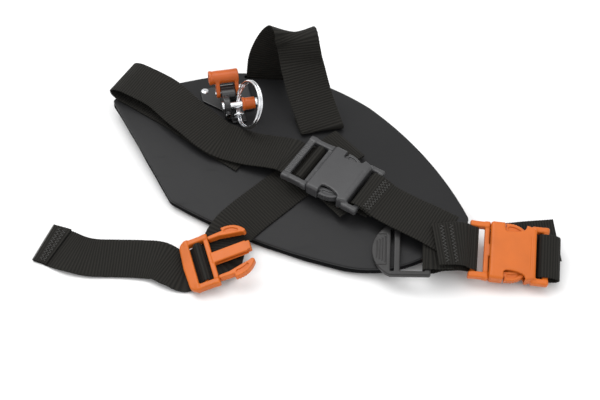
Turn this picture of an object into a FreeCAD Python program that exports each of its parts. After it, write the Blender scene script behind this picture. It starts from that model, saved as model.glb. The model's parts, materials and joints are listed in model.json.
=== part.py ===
"""Hip plate of a load-carrying harness, with its webbing, buckles and quick-release fitting.

Millimetres, +Z up. The plate lies face up on a flat surface; +X is the long way of the assembly.
"""
import FreeCAD
import Part
import math
import os
import re

V = FreeCAD.Vector
doc = FreeCAD.newDocument("harness_hip_plate")

# ---------------------------------------------------------------- driving dimensions
DIMENSIONS = {
    # the whole assembly is shifted so that the origin is below the middle of its box
    "shift_x": 2.7, "shift_y": -11.0, "shift_z": 0.05,
    # hip plate: a shell and a foam pad, both bent about the long way of the plate
    "plate_turn": -23.7, "plate_x": -8.0, "plate_y": 23.0, "bend_radius": 480.0,
    "crown_offset": 8.0, "crown_height": 19.4, "shell_thick": 2.5, "pad_thick": 6.7,
    "layer_gap": 0.15, "slot_length": 45.0, "slot_width": 5.0, "slot_turn": 1.0,
    "slot_x": -31.0, "slot_y": 129.0, "pocket_depth": 3.4, "pocket_length": 34.0,
    # webbing
    "web_width": 40.0, "web_thick": 1.5, "web_gap": 0.35,
    # side-release buckle
    "buckle_width": 53.0, "frame_opening": 42.0, "rail_height": 7.0, "frame_length": 25.0,
    "sewn_length": 17.0, "lip_length": 7.0, "lip_height": 5.0, "bar_radius": 2.0,
    "bar_back": 10.5, "sewn_bar_back": 13.0, "crossbar_length": 4.0, "crossbar_height": 4.4,
    "prong_reach": 33.0, "prong_root": 3.6, "prong_height": 6.4, "prong_gap": 0.15,
    "prong_offset": 21.0, "barb_start": 14.0, "guide_width": 11.0, "guide_height": 6.0,
    "guide_reach": 34.0, "socket_body": 40.0, "socket_length": 51.0, "socket_height": 13.0,
    "cavity_height": 7.6, "cavity_width": 47.4, "mouth_gap": 0.4, "notch_start": 13.0,
    "notch_length": 17.0, "notch_depth": 9.0, "socket_bar": 5.0, "mouth_round": 3.0,
    "corner_round": 4.0,
    # ladder-lock
    "lock_length": 50.0, "lock_width": 50.0, "lock_height": 5.0, "lock_opening": 42.0,
    "lock_bar": 5.0, "lock_lever": 15.0, "lock_slot": 3.2,
    # quick-release fitting
    "base_thick": 2.0, "rivet_head": 3.6, "rivet_rise": 1.6,
    "bracket_half": 6.5, "pin_radius": 2.0, "pin_clearance": 0.06,
    "handle_outer": 6.2, "handle_bore": 4.0, "handle_length": 27.0, "handle_leg": 3.6,
    "roller_outer": 5.6, "roller_length": 11.7, "shaft_radius": 3.0, "shaft_length": 31.4,
    "bolt_head": 2.6, "cap_thick": 1.8,
    "ring_radius": 21.0, "ring_wire": 1.25, "eye_radius": 4.2, "eye_wire": 1.4,
}
sheet = doc.addObject("Spreadsheet::Sheet", "Dimensions")
for row, (alias, value) in enumerate(DIMENSIONS.items(), start=1):
    sheet.set("A%d" % row, alias)
    sheet.set("B%d" % row, str(value))
    sheet.setAlias("B%d" % row, alias)
doc.recompute()


def dim(alias):
    """The value of one cell of the sheet, in millimetres or degrees."""
    return float(getattr(sheet, alias))


SHIFT = V(dim("shift_x"), dim("shift_y"), dim("shift_z"))
NODES = []


# ---------------------------------------------------------------- building helpers
def bind(feature, **cells):
    """Bind properties to expressions over the sheet: words in the text are aliases of its cells."""
    for prop, text in cells.items():
        text = re.sub(r"[a-z]+(_[a-z]+)+", lambda word: "Dimensions." + word.group(), text)
        feature.setExpression(prop.replace("__", "."), text)
    return feature


def block(name, length, width, height, x, y, z):
    """A Part::Box whose size and low corner are expressions."""
    return bind(doc.addObject("Part::Box", name), Length=length, Width=width, Height=height,
                Placement__Base__x=x, Placement__Base__y=y, Placement__Base__z=z)


def rod(name, radius, length, x, y, z, axis):
    """A Part::Cylinder from the point x, y, z along +X, +Y or +Z."""
    piece = doc.addObject("Part::Cylinder", name)
    turn = {"X": FreeCAD.Rotation(V(0, 1, 0), 90), "Y": FreeCAD.Rotation(V(1, 0, 0), -90),
            "Z": FreeCAD.Rotation()}[axis]
    piece.Placement = FreeCAD.Placement(V(), turn)
    return bind(piece, Radius=radius, Height=length,
                Placement__Base__x=x, Placement__Base__y=y, Placement__Base__z=z)


def fuse(name, pieces):
    result = doc.addObject("Part::MultiFuse", name)
    result.Shapes = pieces
    result.Refine = True
    return result


def cut(name, base, tool):
    result = doc.addObject("Part::Cut", name)
    result.Base = base
    result.Tool = tool
    return result


def group(name, pieces):
    result = doc.addObject("Part::Compound", name)
    result.Links = pieces
    return result


def common(name, first, second):
    result = doc.addObject("Part::MultiCommon", name)
    result.Shapes = [first, second]
    return result


def round_edges(name, base, radius, wanted):
    """Fillet the edges of base for which wanted(edge) is true."""
    doc.recompute()
    result = doc.addObject("Part::Fillet", name)
    result.Base = base
    result.Edges = [(i, radius, radius) for i, edge in enumerate(base.Shape.Edges, 1) if wanted(edge)]
    return result


def upright(edge):
    """True for a straight edge along Z."""
    ends = [v.Point for v in edge.Vertexes]
    return len(ends) == 2 and abs(ends[0].x - ends[1].x) + abs(ends[0].y - ends[1].y) < 1e-6


def outline_pad(name, steps, height, plane="XY_Plane", z="0", middle=False):
    """A PartDesign body: one closed outline of lines and three-point arcs, padded by height.

    steps starts with a point; each further step is a point (line) or a pair of points (arc).
    """
    body = doc.addObject("PartDesign::Body", name)
    sketch = body.newObject("Sketcher::SketchObject", name + "_outline")
    origin = [f for f in body.Origin.OriginFeatures if f.Role == plane][0]
    sketch.AttachmentSupport = [(origin, "")]
    sketch.MapMode = "FlatFace"
    bind(sketch, AttachmentOffset__Base__z=z)
    here = V(*steps[0], 0)
    for step in steps[1:]:
        if isinstance(step[0], tuple):
            through, end = V(*step[0], 0), V(*step[1], 0)
            sketch.addGeometry(Part.Arc(here, through, end), False)
        else:
            end = V(*step, 0)
            sketch.addGeometry(Part.LineSegment(here, end), False)
        here = end
    pad = body.newObject("PartDesign::Pad", name + "_pad")
    pad.Profile = sketch
    pad.Midplane = middle
    bind(pad, Length=height)
    body.Tip = pad
    return body


def place(feature, label, placement):
    """Make feature the node called label, at a place in the assembly."""
    doc.recompute()
    feature.Label = label
    feature.Placement = FreeCAD.Placement(SHIFT, FreeCAD.Rotation()).multiply(placement)
    NODES.append(feature)
    return feature


def solid(label, shape):
    """A computed webbing solid as a node: its shape is already in the assembly's frame."""
    feature = doc.addObject("Part::Feature", label)
    feature.Shape = shape
    return place(feature, label, FreeCAD.Placement())


# ---------------------------------------------------------------- hip plate
PLATE = FreeCAD.Placement(V(dim("plate_x"), dim("plate_y"), 0),
                          FreeCAD.Rotation(V(0, 0, 1), dim("plate_turn")))
# leaf outline in the plate's own frame: X from the narrow tip to the wide end
LEAF = [(-178, 3), ((-181, -1), (-178, -6)), (-86, -78), ((-83, -80.5), (-79, -82)),
        ((20, -89.5), (88, -85)), ((140, -60), (168, -10)), ((170, -4), (167, 2)),
        ((112, 50), (41, 91)), ((0, 101.5), (-42, 104)), ((-47, 103.5), (-52, 101.5)),
        (-92, 81), ((-137, 42), (-178, 3))]


def bent_layer(name, top_drop, thick):
    """The leaf cut out of a tube whose outer radius is bend_radius less top_drop."""
    blank = outline_pad(name + "_blank", LEAF, "crown_height + 5")
    outer = rod(name + "_outer", "bend_radius - " + top_drop, "500", "-250", "crown_offset",
                "crown_height - bend_radius", "X")
    inner = rod(name + "_inner", "bend_radius - " + top_drop + " - " + thick, "500", "-250",
                "crown_offset", "crown_height - bend_radius", "X")
    tube = cut(name + "_tube", outer, inner)
    return common(name + "_leaf", blank, tube)


def surface(x, y):
    """Height of the plate's face above the floor, and its slope towards +Y of the plate."""
    local = PLATE.inverse().multVec(V(x, y, 0))
    across = local.y - dim("crown_offset")
    return dim("crown_height") - across ** 2 / (2 * dim("bend_radius")), -across / dim("bend_radius")


def on_plate(x, y, turn, rise=0.0):
    """A webbing row lying on the plate: its width points along turn, in degrees."""
    height, slope = surface(x, y)
    angle = math.radians(turn)
    across = math.radians(dim("plate_turn") + 90)
    lean = slope * math.cos(angle - across)
    lift = dim("web_gap") + dim("web_thick") / 2 + rise
    return V(x, y, height + lift), V(math.cos(angle), math.sin(angle), lean)


SLOT = FreeCAD.Placement(PLATE.inverse().multVec(V(dim("slot_x"), dim("slot_y"), 0)),
                         FreeCAD.Rotation(V(0, 0, 1), dim("slot_turn") - dim("plate_turn")))
slot_cutter = block("slot_cutter", "slot_length", "slot_width", "60",
                    "-slot_length / 2", "-slot_width / 2", "0")
slot_through = group("slot_through", [slot_cutter])
slot_through.Placement = SLOT
shell = cut("shell_with_slot", bent_layer("shell", "0", "shell_thick"), slot_through)
place(shell, "hip_plate", PLATE)

pocket_cutter = block("pocket_cutter", "slot_length", "pocket_length", "60",
                      "-slot_length / 2", "slot_width / 2 - pocket_length", "0")
pocket_through = group("pocket_through", [pocket_cutter])
pocket_through.Placement = SLOT
pocket_layer = bent_layer("pocket", "shell_thick", "pocket_depth")
pocket = common("pocket_volume", pocket_layer, pocket_through)
pad = cut("pad_with_pocket", bent_layer("pad", "shell_thick - layer_gap", "pad_thick"), pocket)
place(pad, "foam_backing", PLATE)


# ---------------------------------------------------------------- side-release buckles
def plug_frame(prefix, sewn):
    """The rigid half that carries the prongs: X points out of the webbing, Z is its face."""
    length = "sewn_length" if sewn else "frame_length"
    bar_back = "sewn_bar_back" if sewn else "bar_back"
    rails = [block(prefix + side, length, "( buckle_width - frame_opening ) / 2", "rail_height",
                   "-" + length, low, "-rail_height / 2")
             for side, low in (("_rail_near", "-buckle_width / 2"), ("_rail_far", "frame_opening / 2"))]
    crossbar = block(prefix + "_crossbar", "crossbar_length", "buckle_width", "crossbar_height",
                     "-crossbar_length", "-buckle_width / 2", "-crossbar_height / 2")
    bar = rod(prefix + "_bar", "bar_radius", "frame_opening + 2", "-" + bar_back,
              "-frame_opening / 2 - 1", "0", "Y")
    guide = block(prefix + "_guide", "guide_reach + 1", "guide_width", "guide_height", "-1",
                  "-guide_width / 2", "-guide_height / 2")
    groove = block(prefix + "_groove", "guide_reach + 1", "guide_width - 5", "guide_height", "2",
                   "-guide_width / 2 + 2.5", "-guide_height / 2 - 2.5")
    pieces = rails + [crossbar, bar, cut(prefix + "_tongue", guide, groove)]
    if not sewn:
        pieces.append(block(prefix + "_lip", "lip_length", "buckle_width", "lip_height",
                            "-frame_length", "-buckle_width / 2", "rail_height / 2 - lip_height"))
    body = fuse(prefix + "_body", pieces)
    corner = dim("buckle_width") / 2

    def outer_corner(edge):
        return upright(edge) and abs(edge.CenterOfMass.x + dim(length)) < 0.1 \
            and abs(abs(edge.CenterOfMass.y) - corner) < 0.1
    return round_edges(prefix + "_rounded", body, dim("corner_round"), outer_corner)


def prong(prefix, side):
    """A springy prong with a barb; side is +1 on the far rail and -1 on the near rail."""
    gap, root, reach = dim("prong_gap"), dim("prong_root"), dim("prong_reach")
    middle, barb, outer = dim("prong_offset"), dim("barb_start"), dim("buckle_width") / 2
    inside, outside = middle - root / 2, middle + root / 2
    back = gap + root / 2
    steps = [(back, inside), ((gap, middle), (back, outside)), (barb, outside + 0.6),
             (barb - 0.5, outer), ((barb + 9, outer - 0.8), (reach, middle - 3.2)),
             ((reach + 0.5, middle - 5.5), (reach - 3, middle - 6.0)),
             ((barb + 6, inside - 2.2), (barb - 4, inside)), (back, inside)]
    steps = [tuple((x, side * y) for x, y in step) if isinstance(step[0], tuple)
             else (step[0], side * step[1]) for step in steps]
    return outline_pad(prefix, steps, "prong_height", z="-prong_height / 2")


def socket(prefix):
    """The hollow half: its mouth is at x = mouth_gap, its webbing bar at the far end."""
    shell_box = block(prefix + "_shell", "socket_body - mouth_gap", "buckle_width", "socket_height",
                      "mouth_gap", "-buckle_width / 2", "-socket_height / 2")
    body = round_edges(prefix + "_soft", shell_box, dim("mouth_round"),
                       lambda edge: abs(edge.CenterOfMass.x - dim("mouth_gap")) > 1.0 and not upright(edge)
                       and abs(abs(edge.CenterOfMass.y) - dim("buckle_width") / 2) < 0.1)
    rails = [block(prefix + name, "socket_length - socket_body + 2",
                   "( buckle_width - frame_opening ) / 2", "rail_height", "socket_body - 2", low,
                   "-rail_height / 2")
             for name, low in (("_rail_near", "-buckle_width / 2"), ("_rail_far", "frame_opening / 2"))]
    bar = block(prefix + "_bar", "socket_bar", "buckle_width", "socket_bar",
                "socket_length - socket_bar", "-buckle_width / 2", "-socket_bar / 2")
    whole = fuse(prefix + "_whole", [body, bar] + rails)
    cavity = block(prefix + "_cavity", "guide_reach + 3", "cavity_width", "cavity_height", "0",
                   "-cavity_width / 2", "-cavity_height / 2")
    notches = [block(prefix + name, "notch_length", "notch_depth + 1", "socket_height + 2",
                     "notch_start", low, "-socket_height / 2 - 1")
               for name, low in (("_notch_near", "-buckle_width / 2 - 1"),
                                 ("_notch_far", "buckle_width / 2 - notch_depth"))]
    hollow = fuse(prefix + "_hollow", [cavity] + notches)
    return cut(prefix + "_open", whole, hollow)


def posed(x, y, z, yaw, pitch, roll):
    return FreeCAD.Placement(V(x, y, z), FreeCAD.Rotation(yaw, pitch, roll))


BLACK = posed(18.0, -0.8, 33.0, -32.5, 1.0, 0.0)
RIGHT = posed(161.3, -79.0, 17.0, -6.0, 2.5, 13.0)
FREE = posed(-74.0, -83.5, 11.5, 16.0, -13.0, 0.0)
for prefix, at, is_sewn in (("black_plug", BLACK, False), ("right_plug", RIGHT, True),
                            ("free_plug", FREE, False)):
    place(plug_frame(prefix, is_sewn), prefix + "_frame", at)
    place(prong(prefix + "_far", 1), prefix + "_prong_far", at)
    place(prong(prefix + "_near", -1), prefix + "_prong_near", at)
place(socket("black_socket"), "black_socket", BLACK)
place(socket("right_socket"), "right_socket", RIGHT)


# ---------------------------------------------------------------- ladder-lock
def ladder_lock():
    """A flat frame with a lever end, a middle bar and an end bar for the sewn loop."""
    half, wide = dim("lock_length") / 2, dim("lock_width") / 2
    lever_back = dim("lock_lever")
    outline = [(half, wide - 2), ((half - 0.6, wide - 0.6), (half - 2, wide)), (-half + lever_back, wide),
               ((-half, 0), (-half + lever_back, -wide)), (half - 2, -wide),
               ((half - 0.6, -wide + 0.6), (half, -wide + 2)), (half, wide - 2)]
    plate = outline_pad("lock_outline", outline, "lock_height", z="-lock_height / 2")
    windows = fuse("lock_windows", [
        block("lock_window", "lock_length / 2 - lock_bar + 1", "lock_opening", "lock_height + 2",
              "-1", "-lock_opening / 2", "-lock_height / 2 - 1"),
        block("lock_slot_window", "lock_slot", "lock_opening", "lock_height + 2", "-1 - lock_bar - lock_slot",
              "-lock_opening / 2", "-lock_height / 2 - 1")])
    return cut("lock_open", plate, windows)


LOCK = posed(86.5, -80.0, 19.3, -4.0, -4.5, 6.0)
place(ladder_lock(), "ladder_lock", LOCK)


# ---------------------------------------------------------------- quick-release fitting
FITTING_X, FITTING_Y = -67.5, 89.5
rise, slope = surface(FITTING_X, FITTING_Y)
LONG_WAY = PLATE.Rotation.multVec(V(1, 0, 0))
FITTING = FreeCAD.Placement(V(FITTING_X, FITTING_Y, rise + 0.45),
                            FreeCAD.Rotation(LONG_WAY, math.degrees(slope))
                            .multiply(FreeCAD.Rotation(V(0, 0, 1), 12.0)))
BASE_LOW_Y = -13.0
RIVETS = [(-19.0, 18.0), (16.0, 18.0), (17.0, -8.0)]
SHAFT_Y, SHAFT_Z, PIN_Z = -19.0, 16.0, 15.0
EAR_RIGHT = -0.8

# the ring leans over the roller: its centre, and the two directions that span it
RING_CENTRE = V(-46.5, 65.5, 44.2)
RING_UP = V(0.0, 0.788, 0.616)
RING_SIDE = V(0.53, -0.52, 0.67)
RING_NORMAL = RING_UP.cross(RING_SIDE)
RING_NORMAL.normalize()
EYE_ANGLE = math.radians(-115.0)
EYE_POINT = RING_CENTRE + RING_UP * (dim("ring_radius") * math.cos(EYE_ANGLE)) \
    + RING_SIDE * (dim("ring_radius") * math.sin(EYE_ANGLE))
EYE_TANGENT = RING_UP * (-math.sin(EYE_ANGLE)) + RING_SIDE * math.cos(EYE_ANGLE)

base_sheet = outline_pad("base_outline", [
    (-3, BASE_LOW_Y), (0, -27), (13, -27), (13, BASE_LOW_Y), (20, BASE_LOW_Y),
    ((22.1, BASE_LOW_Y + 0.9), (23, BASE_LOW_Y + 3)), (23, 19), ((22.1, 21.1), (20, 22)), (-20, 22),
    ((-22.1, 21.1), (-23, 19)), (-23, 6), (-3, BASE_LOW_Y)], "base_thick")
rivet_holes = fuse("rivet_holes", [
    rod("rivet_hole_%d" % i, "pin_radius + 0.1", "base_thick + 2", str(x), str(y), "-1", "Z")
    for i, (x, y) in enumerate(RIVETS)])
eye = doc.addObject("Part::Torus", "ring_eye")
bind(eye, Radius1="eye_radius", Radius2="eye_wire")
eye.Placement = FITTING.inverse().multiply(
    FreeCAD.Placement(EYE_POINT, FreeCAD.Rotation(V(0, 0, 1), EYE_TANGENT)))
base = fuse("base_and_eye", [cut("base_drilled", base_sheet, rivet_holes), eye])
place(base, "hook_base", FITTING)

rivets = []
for i, (x, y) in enumerate(RIVETS):
    shank = rod("rivet_shank_%d" % i, "pin_radius", "base_thick + 0.4", str(x), str(y), "-0.3", "Z")
    dome = doc.addObject("Part::Ellipsoid", "rivet_dome_%d" % i)
    bind(dome, Radius1="rivet_rise", Radius2="rivet_head", Radius3="rivet_head")
    dome.Angle1 = 0.0
    dome.Placement = FreeCAD.Placement(V(x, y, dim("base_thick") + 0.05), FreeCAD.Rotation())
    rivets.append(fuse("rivet_%d" % i, [shank, dome]))
place(group("rivet_set", rivets), "base_rivets", FITTING)

# bracket: a side view in Y and Z, padded across, with the shaft ear set back for the ring
tower = outline_pad("bracket_tower", [
    (-8, 2.1), (9, 2.1), (7.5, 13), ((6, 19), (0, 20)), ((-6, 19), (-8, 16)), (-8, 2.1)],
    "2 * bracket_half", plane="YZ_Plane", middle=True)
ear = outline_pad("bracket_ear", [
    (-23, 2.1), (-7, 2.1), (-7, 17), ((-9, 20), (-12, 21.5)), ((-19, 22.6), (-22.5, 20)),
    ((-23.6, 17), (-23.8, 12)), (-23, 2.1)], "bracket_half + %s" % EAR_RIGHT,
    plane="YZ_Plane", z="-bracket_half")
bracket_solid = fuse("bracket_solid", [tower, ear])
bracket_bores = fuse("bracket_bores", [
    rod("pin_bore", "pin_radius + pin_clearance", "40", "-20", "0", str(PIN_Z), "X"),
    rod("shaft_bore", "shaft_radius + pin_clearance", "40", "-20", str(SHAFT_Y), str(SHAFT_Z), "X")])
place(cut("bracket_bored", bracket_solid, bracket_bores), "release_bracket", FITTING)

bolt_rod = rod("bolt_head_rod", "bolt_head", "2.2", "-3.7", "-26.05", "9", "Y")
place(group("bolt", [bolt_rod]), "bracket_bolt", FITTING)

# handle: a tube across the fitting on two legs that straddle the tower
HANDLE_Y, HANDLE_Z, HANDLE_LEFT = 8.4, 27.3, -16.0
LEG_HALF = 4.5
reach = math.hypot(HANDLE_Y, HANDLE_Z - PIN_Z)
lean = math.degrees(math.atan2(HANDLE_Y, HANDLE_Z - PIN_Z))
legs = []
for name, low in (("leg_left", "-bracket_half - 0.5 - handle_leg"),
                  ("leg_right", "bracket_half + 0.5")):
    arm = block(name, "handle_leg", str(2 * LEG_HALF), str(reach), low, "0", str(PIN_Z))
    arm.Placement = FreeCAD.Placement(V(), FreeCAD.Rotation(V(1, 0, 0), -lean))
    arm.setExpression("Placement.Base.y", "%f" % (-LEG_HALF * math.cos(math.radians(lean))))
    arm.setExpression("Placement.Base.z", "%f" % (PIN_Z + LEG_HALF * math.sin(math.radians(lean))))
    foot = rod(name + "_foot", str(LEG_HALF), "handle_leg", low, "0", str(PIN_Z), "X")
    legs += [arm, foot]
grip = rod("handle_grip", "handle_outer", "handle_length", str(HANDLE_LEFT), str(HANDLE_Y),
           str(HANDLE_Z), "X")
handle_holes = fuse("handle_holes", [
    rod("grip_bore", "handle_bore", "60", "-30", str(HANDLE_Y), str(HANDLE_Z), "X"),
    rod("leg_bore", "pin_radius + pin_clearance", "60", "-30", "0", str(PIN_Z), "X")])
place(cut("handle_drilled", fuse("handle_solid", legs + [grip]), handle_holes), "release_handle", FITTING)
pin_rod = rod("handle_pin_rod", "pin_radius", "2 * bracket_half + 2 * handle_leg + 3",
              "-bracket_half - handle_leg - 1.5", "0", str(PIN_Z), "X")
place(group("handle_pin_solid", [pin_rod]), "handle_pin", FITTING)

# roller on its shaft, kept by a cap
ROLLER_LEFT = 10.2
sleeve = fuse("roller_solid", [
    rod("roller_body", "roller_outer", "roller_length", str(ROLLER_LEFT), str(SHAFT_Y), str(SHAFT_Z), "X"),
    rod("roller_lip", "roller_outer + 0.5", "2.2", str(ROLLER_LEFT), str(SHAFT_Y), str(SHAFT_Z), "X")])
place(cut("roller_bored", sleeve, rod("roller_bore", "shaft_radius + pin_clearance", "40", "0",
                                      str(SHAFT_Y), str(SHAFT_Z), "X")), "roller", FITTING)
shaft = fuse("shaft_solid", [
    rod("shaft_rod", "shaft_radius", "shaft_length", "-8.4", str(SHAFT_Y), str(SHAFT_Z), "X"),
    rod("shaft_head", "shaft_radius + 1.6", "1.6", "-8.4", str(SHAFT_Y), str(SHAFT_Z), "X")])
place(shaft, "roller_shaft", FITTING)
cap = cut("cap_bored",
          rod("cap_disc", "shaft_radius + 2", "cap_thick", "22.1", str(SHAFT_Y), str(SHAFT_Z), "X"),
          rod("cap_bore", "shaft_radius + 0.05", "6", "20", str(SHAFT_Y), str(SHAFT_Z), "X"))
place(cap, "roller_cap", FITTING)

coils = []
for name, side in (("coil_left", -1), ("coil_right", 1)):
    coil = doc.addObject("Part::Torus", name)
    bind(coil, Radius1="ring_radius", Radius2="ring_wire")
    coil.setExpression("Placement.Base.z", "%d * ( Dimensions.ring_wire - 0.1 )" % side)
    coils.append(coil)
place(fuse("ring_solid", coils), "split_ring",
      FreeCAD.Placement(RING_CENTRE, FreeCAD.Rotation(V(0, 0, 1), RING_NORMAL)))


# ---------------------------------------------------------------- webbing
def ribbon(rows, spacing=5.0):
    """A strap of webbing through rows of (centre, width direction), as a ruled solid."""
    half, thick = dim("web_width") / 2, dim("web_thick") / 2
    stations = []
    for k in range(len(rows) - 1):
        (p1, w1), (p2, w2) = rows[k], rows[k + 1]
        p0 = rows[k - 1][0] if k else p1 * 2 - p2
        p3 = rows[k + 2][0] if k + 2 < len(rows) else p2 * 2 - p1
        span = (p2 - p1).Length
        m1 = (p2 - p0) * (span / max((p2 - p1).Length + (p1 - p0).Length, 1e-6))
        m2 = (p3 - p1) * (span / max((p3 - p2).Length + (p2 - p1).Length, 1e-6))
        count = max(1, int(round(span / spacing)))
        for j in range(count + (k == len(rows) - 2)):
            s = j / count
            point = p1 * (2 * s ** 3 - 3 * s ** 2 + 1) + m1 * (s ** 3 - 2 * s ** 2 + s) \
                + p2 * (3 * s ** 2 - 2 * s ** 3) + m2 * (s ** 3 - s ** 2)
            stations.append((point, w1 * (1 - s) + w2 * s))
    wires = []
    for k, (point, wide) in enumerate(stations):
        ahead = stations[min(k + 1, len(stations) - 1)][0] - stations[max(k - 1, 0)][0]
        ahead.normalize()
        wide = wide - ahead * wide.dot(ahead)
        wide.normalize()
        up = ahead.cross(wide)
        corners = [point + wide * (a * half) + up * (b * thick)
                   for a, b in ((1, 1), (-1, 1), (-1, -1), (1, -1))]
        wires.append(Part.makePolygon(corners + [corners[0]]))
    return Part.makeLoft(wires, True, True)


def local_rows(at, points, flip=1):
    """Rows given as (x, y, z) in a buckle's own frame, the width along its Y."""
    wide = at.Rotation.multVec(V(0, flip, 0))
    return [(at.multVec(V(*p)), wide) for p in points]


def row_at(x, y, z, turn, lean=0.0):
    """A free row: width along turn degrees in plan, leaning up by lean degrees."""
    angle, tip = math.radians(turn), math.radians(lean)
    return V(x, y, z), V(math.cos(tip) * math.cos(angle), math.cos(tip) * math.sin(angle), math.sin(tip))


# over the adjuster's middle bar, from below the lip to below the crossbar
wrap = dim("bar_radius") + dim("web_gap") + dim("web_thick") / 2
back = dim("bar_back")
UNDER = -3.7
THREAD = [(-36, 0, UNDER - 0.4), (-27, 0, UNDER), (-19, 0, UNDER), (-15.2, 0, -2.2), (-back - wrap, 0, 0.2),
          (-back - wrap * 0.7, 0, wrap * 0.72), (-back, 0, wrap), (-back + wrap * 0.7, 0, wrap * 0.72),
          (-back + wrap, 0, 0.2), (-back + wrap + 0.7, 0, -2.2), (-3.0, 0, UNDER - 0.1),
          (1.5, 0, UNDER - 0.9)]

TAIL = [(-4.6, 0, -5.9), (-0.8, 0, -7.7), (8, -1, -7.9), (20, -4, -8.2), (34, -8, -8.4), (46, -12, -8.6)]
upper_rows = [on_plate(-46, 24, 52), on_plate(-76, 46, 52), on_plate(-114, 77, 53), on_plate(-148, 101, 56),
              row_at(-160, 109.0, 21.2, 58), row_at(-166, 113.5, 23.8, 59), row_at(-167.6, 114.8, 27.6, 60),
              row_at(-165, 113.3, 31.0, 60), row_at(-157, 109, 33.2, 59), row_at(-130, 93, 31.6, 54),
              row_at(-103, 66, 29.4, 51), row_at(-75, 42, 25.8, 53),
              row_at(-57, 34.8, 23.5, 55), row_at(-40, 28.4, 24.8, 57)] \
    + local_rows(BLACK, THREAD[:-2] + TAIL)
solid("upper_strap", ribbon(upper_rows))


def below_shell(x, y, turn, drop=0.0):
    """A webbing row in the pocket between the shell and the foam."""
    point, wide = on_plate(x, y, turn)
    under = dim("shell_thick") + 2 * dim("web_gap") + dim("web_thick") + drop
    return point - V(0, 0, under), wide


loop_rows = [below_shell(-31, 102, 1), below_shell(-31, 112, 1), below_shell(-31, 122, 1),
             below_shell(-31, 126.5, 1, 0.1), below_shell(-31, 128.4, 1, -1.4),
             below_shell(-31, 128.9, 1, -5.0), row_at(-30.6, 129.4, 21, 0, -2), row_at(-28, 131, 38, -3),
             row_at(-21, 131, 57, -7), row_at(-12, 127.5, 73, -10), row_at(-6.5, 121.5, 80.0, -12),
             row_at(-3, 114.5, 78.5, -12), row_at(-0.5, 109, 69, -11), row_at(2.0, 103, 57, -6),
             row_at(7, 90, 43.5, 0), row_at(12.5, 75, 33.6, 6), row_at(17, 63, 27.4, 9),
             row_at(19.6, 56.5, 24.4, 11), row_at(20.6, 53.9, 22.0, 11), row_at(19.6, 56.2, 20.0, 11, -1),
             on_plate(17.6, 62.5, 11), on_plate(15.4, 70, 10), on_plate(13.4, 77, 9)]
solid("loop_strap", ribbon(loop_rows))

lower_rows = [on_plate(35, 28.5, 130, 2.1), on_plate(40, 32.7, 130, 2.1), on_plate(43.6, 35.7, 130, 2.3),
              on_plate(45.2, 37.0, 130, 3.2), on_plate(43.6, 35.7, 130, 4.1), on_plate(38, 31, 130, 4.0),
              on_plate(30, 24, 130, 2.6), on_plate(20, 16, 130, 0.6), on_plate(5, 3.5, 130),
              on_plate(-15, -12.5, 130), on_plate(-38, -32, 130), on_plate(-56, -48, 128),
              row_at(-64, -60, 9.6, 122)]
lower_rows += [(FREE.multVec(V(6, 3, -5.8)), row_at(0, 0, 0, 112)[1])]
lower_rows += local_rows(FREE, THREAD[:0:-1])
lower_rows += [row_at(-110, -86, 3.2, 100), row_at(-122, -80, 4.2, 97), row_at(-138, -77, 2.8, 94),
               row_at(-160, -76, 1.8, 92), row_at(-182, -75, 2.4, 90), row_at(-198, -71, 3.4, 94),
               row_at(-214, -63, 2.0, 103), row_at(-224, -59, 1.4, 103)]
solid("lower_strap", ribbon(lower_rows))

lock_end = dim("lock_length") / 2 - dim("lock_bar") / 2
loop_lift = dim("lock_height") / 2 + dim("web_gap") + dim("web_thick") / 2 + 0.2
side = dim("lock_bar") / 2 + dim("web_gap") + dim("web_thick") / 2 + 0.2
plug_bar = -dim("sewn_bar_back")
sewn_wrap = wrap + 0.1
short_rows = [row_at(114.5, -82, 31.6, 84, 5), row_at(124, -81, 31.2, 84, 7), row_at(133, -79.8, 29.6, 84, 9),
              row_at(141, -78.6, 26.2, 84, 12)] \
    + local_rows(RIGHT, [(plug_bar - 2.6, 0, 4.6), (plug_bar + 0.6, 0, sewn_wrap + 0.2),
                         (plug_bar + sewn_wrap * 0.75, 0, sewn_wrap * 0.7), (plug_bar + sewn_wrap, 0, 0),
                         (plug_bar + sewn_wrap * 0.75, 0, -sewn_wrap * 0.7),
                         (plug_bar + 0.3, 0, -sewn_wrap), (plug_bar - 3.5, 0, -2.6)]) \
    + [row_at(138, -77.8, 18.0, 84, 12), row_at(130, -79.6, 20.4, 84, 9), row_at(121, -81.2, 20.8, 84, 7)] \
    + local_rows(LOCK, [(lock_end + 3, 0, -loop_lift), (lock_end - 1.8, 0, -loop_lift),
                        (lock_end - 3.3, 0, -3.3), (lock_end - side, 0, -1.8), (lock_end - side, 0, 1.8),
                        (lock_end - 3.3, 0, 3.3), (lock_end - 1.8, 0, loop_lift),
                        (lock_end + 3, 0, loop_lift)]) \
    + [row_at(119, -81.4, 24.3, 84, 5), row_at(127, -80.2, 23.4, 84, 6)]
solid("short_strap", ribbon(short_rows, 4.0))

slot_mid = (dim("socket_body") + dim("socket_length") - dim("socket_bar")) / 2
socket_bar = dim("socket_length") - dim("socket_bar") / 2
lift = dim("socket_bar") / 2 + dim("web_gap") + dim("web_thick") / 2
belt_rows = local_rows(BLACK, [(slot_mid + 16, 0, -6.6), (slot_mid + 6, 0, -6.2),
                               (slot_mid + 0.6, 0, -3.6), (slot_mid, 0, 0),
                               (slot_mid + 1.0, 0, lift * 0.8), (socket_bar, 0, lift + 0.2),
                               (socket_bar + 6, 0, lift - 0.4)]) \
    + [row_at(74, -37, 31.2, 57), row_at(88, -45.5, 30.2, 57), row_at(104, -55.5, 30.0, 57, 1),
       row_at(114, -61.5, 29.6, 59, 2), row_at(122, -66.4, 28.8, 61, 4), row_at(127, -69.4, 28.3, 63, 5)]
solid("belt_strap", ribbon(belt_rows, 4.0))

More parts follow.
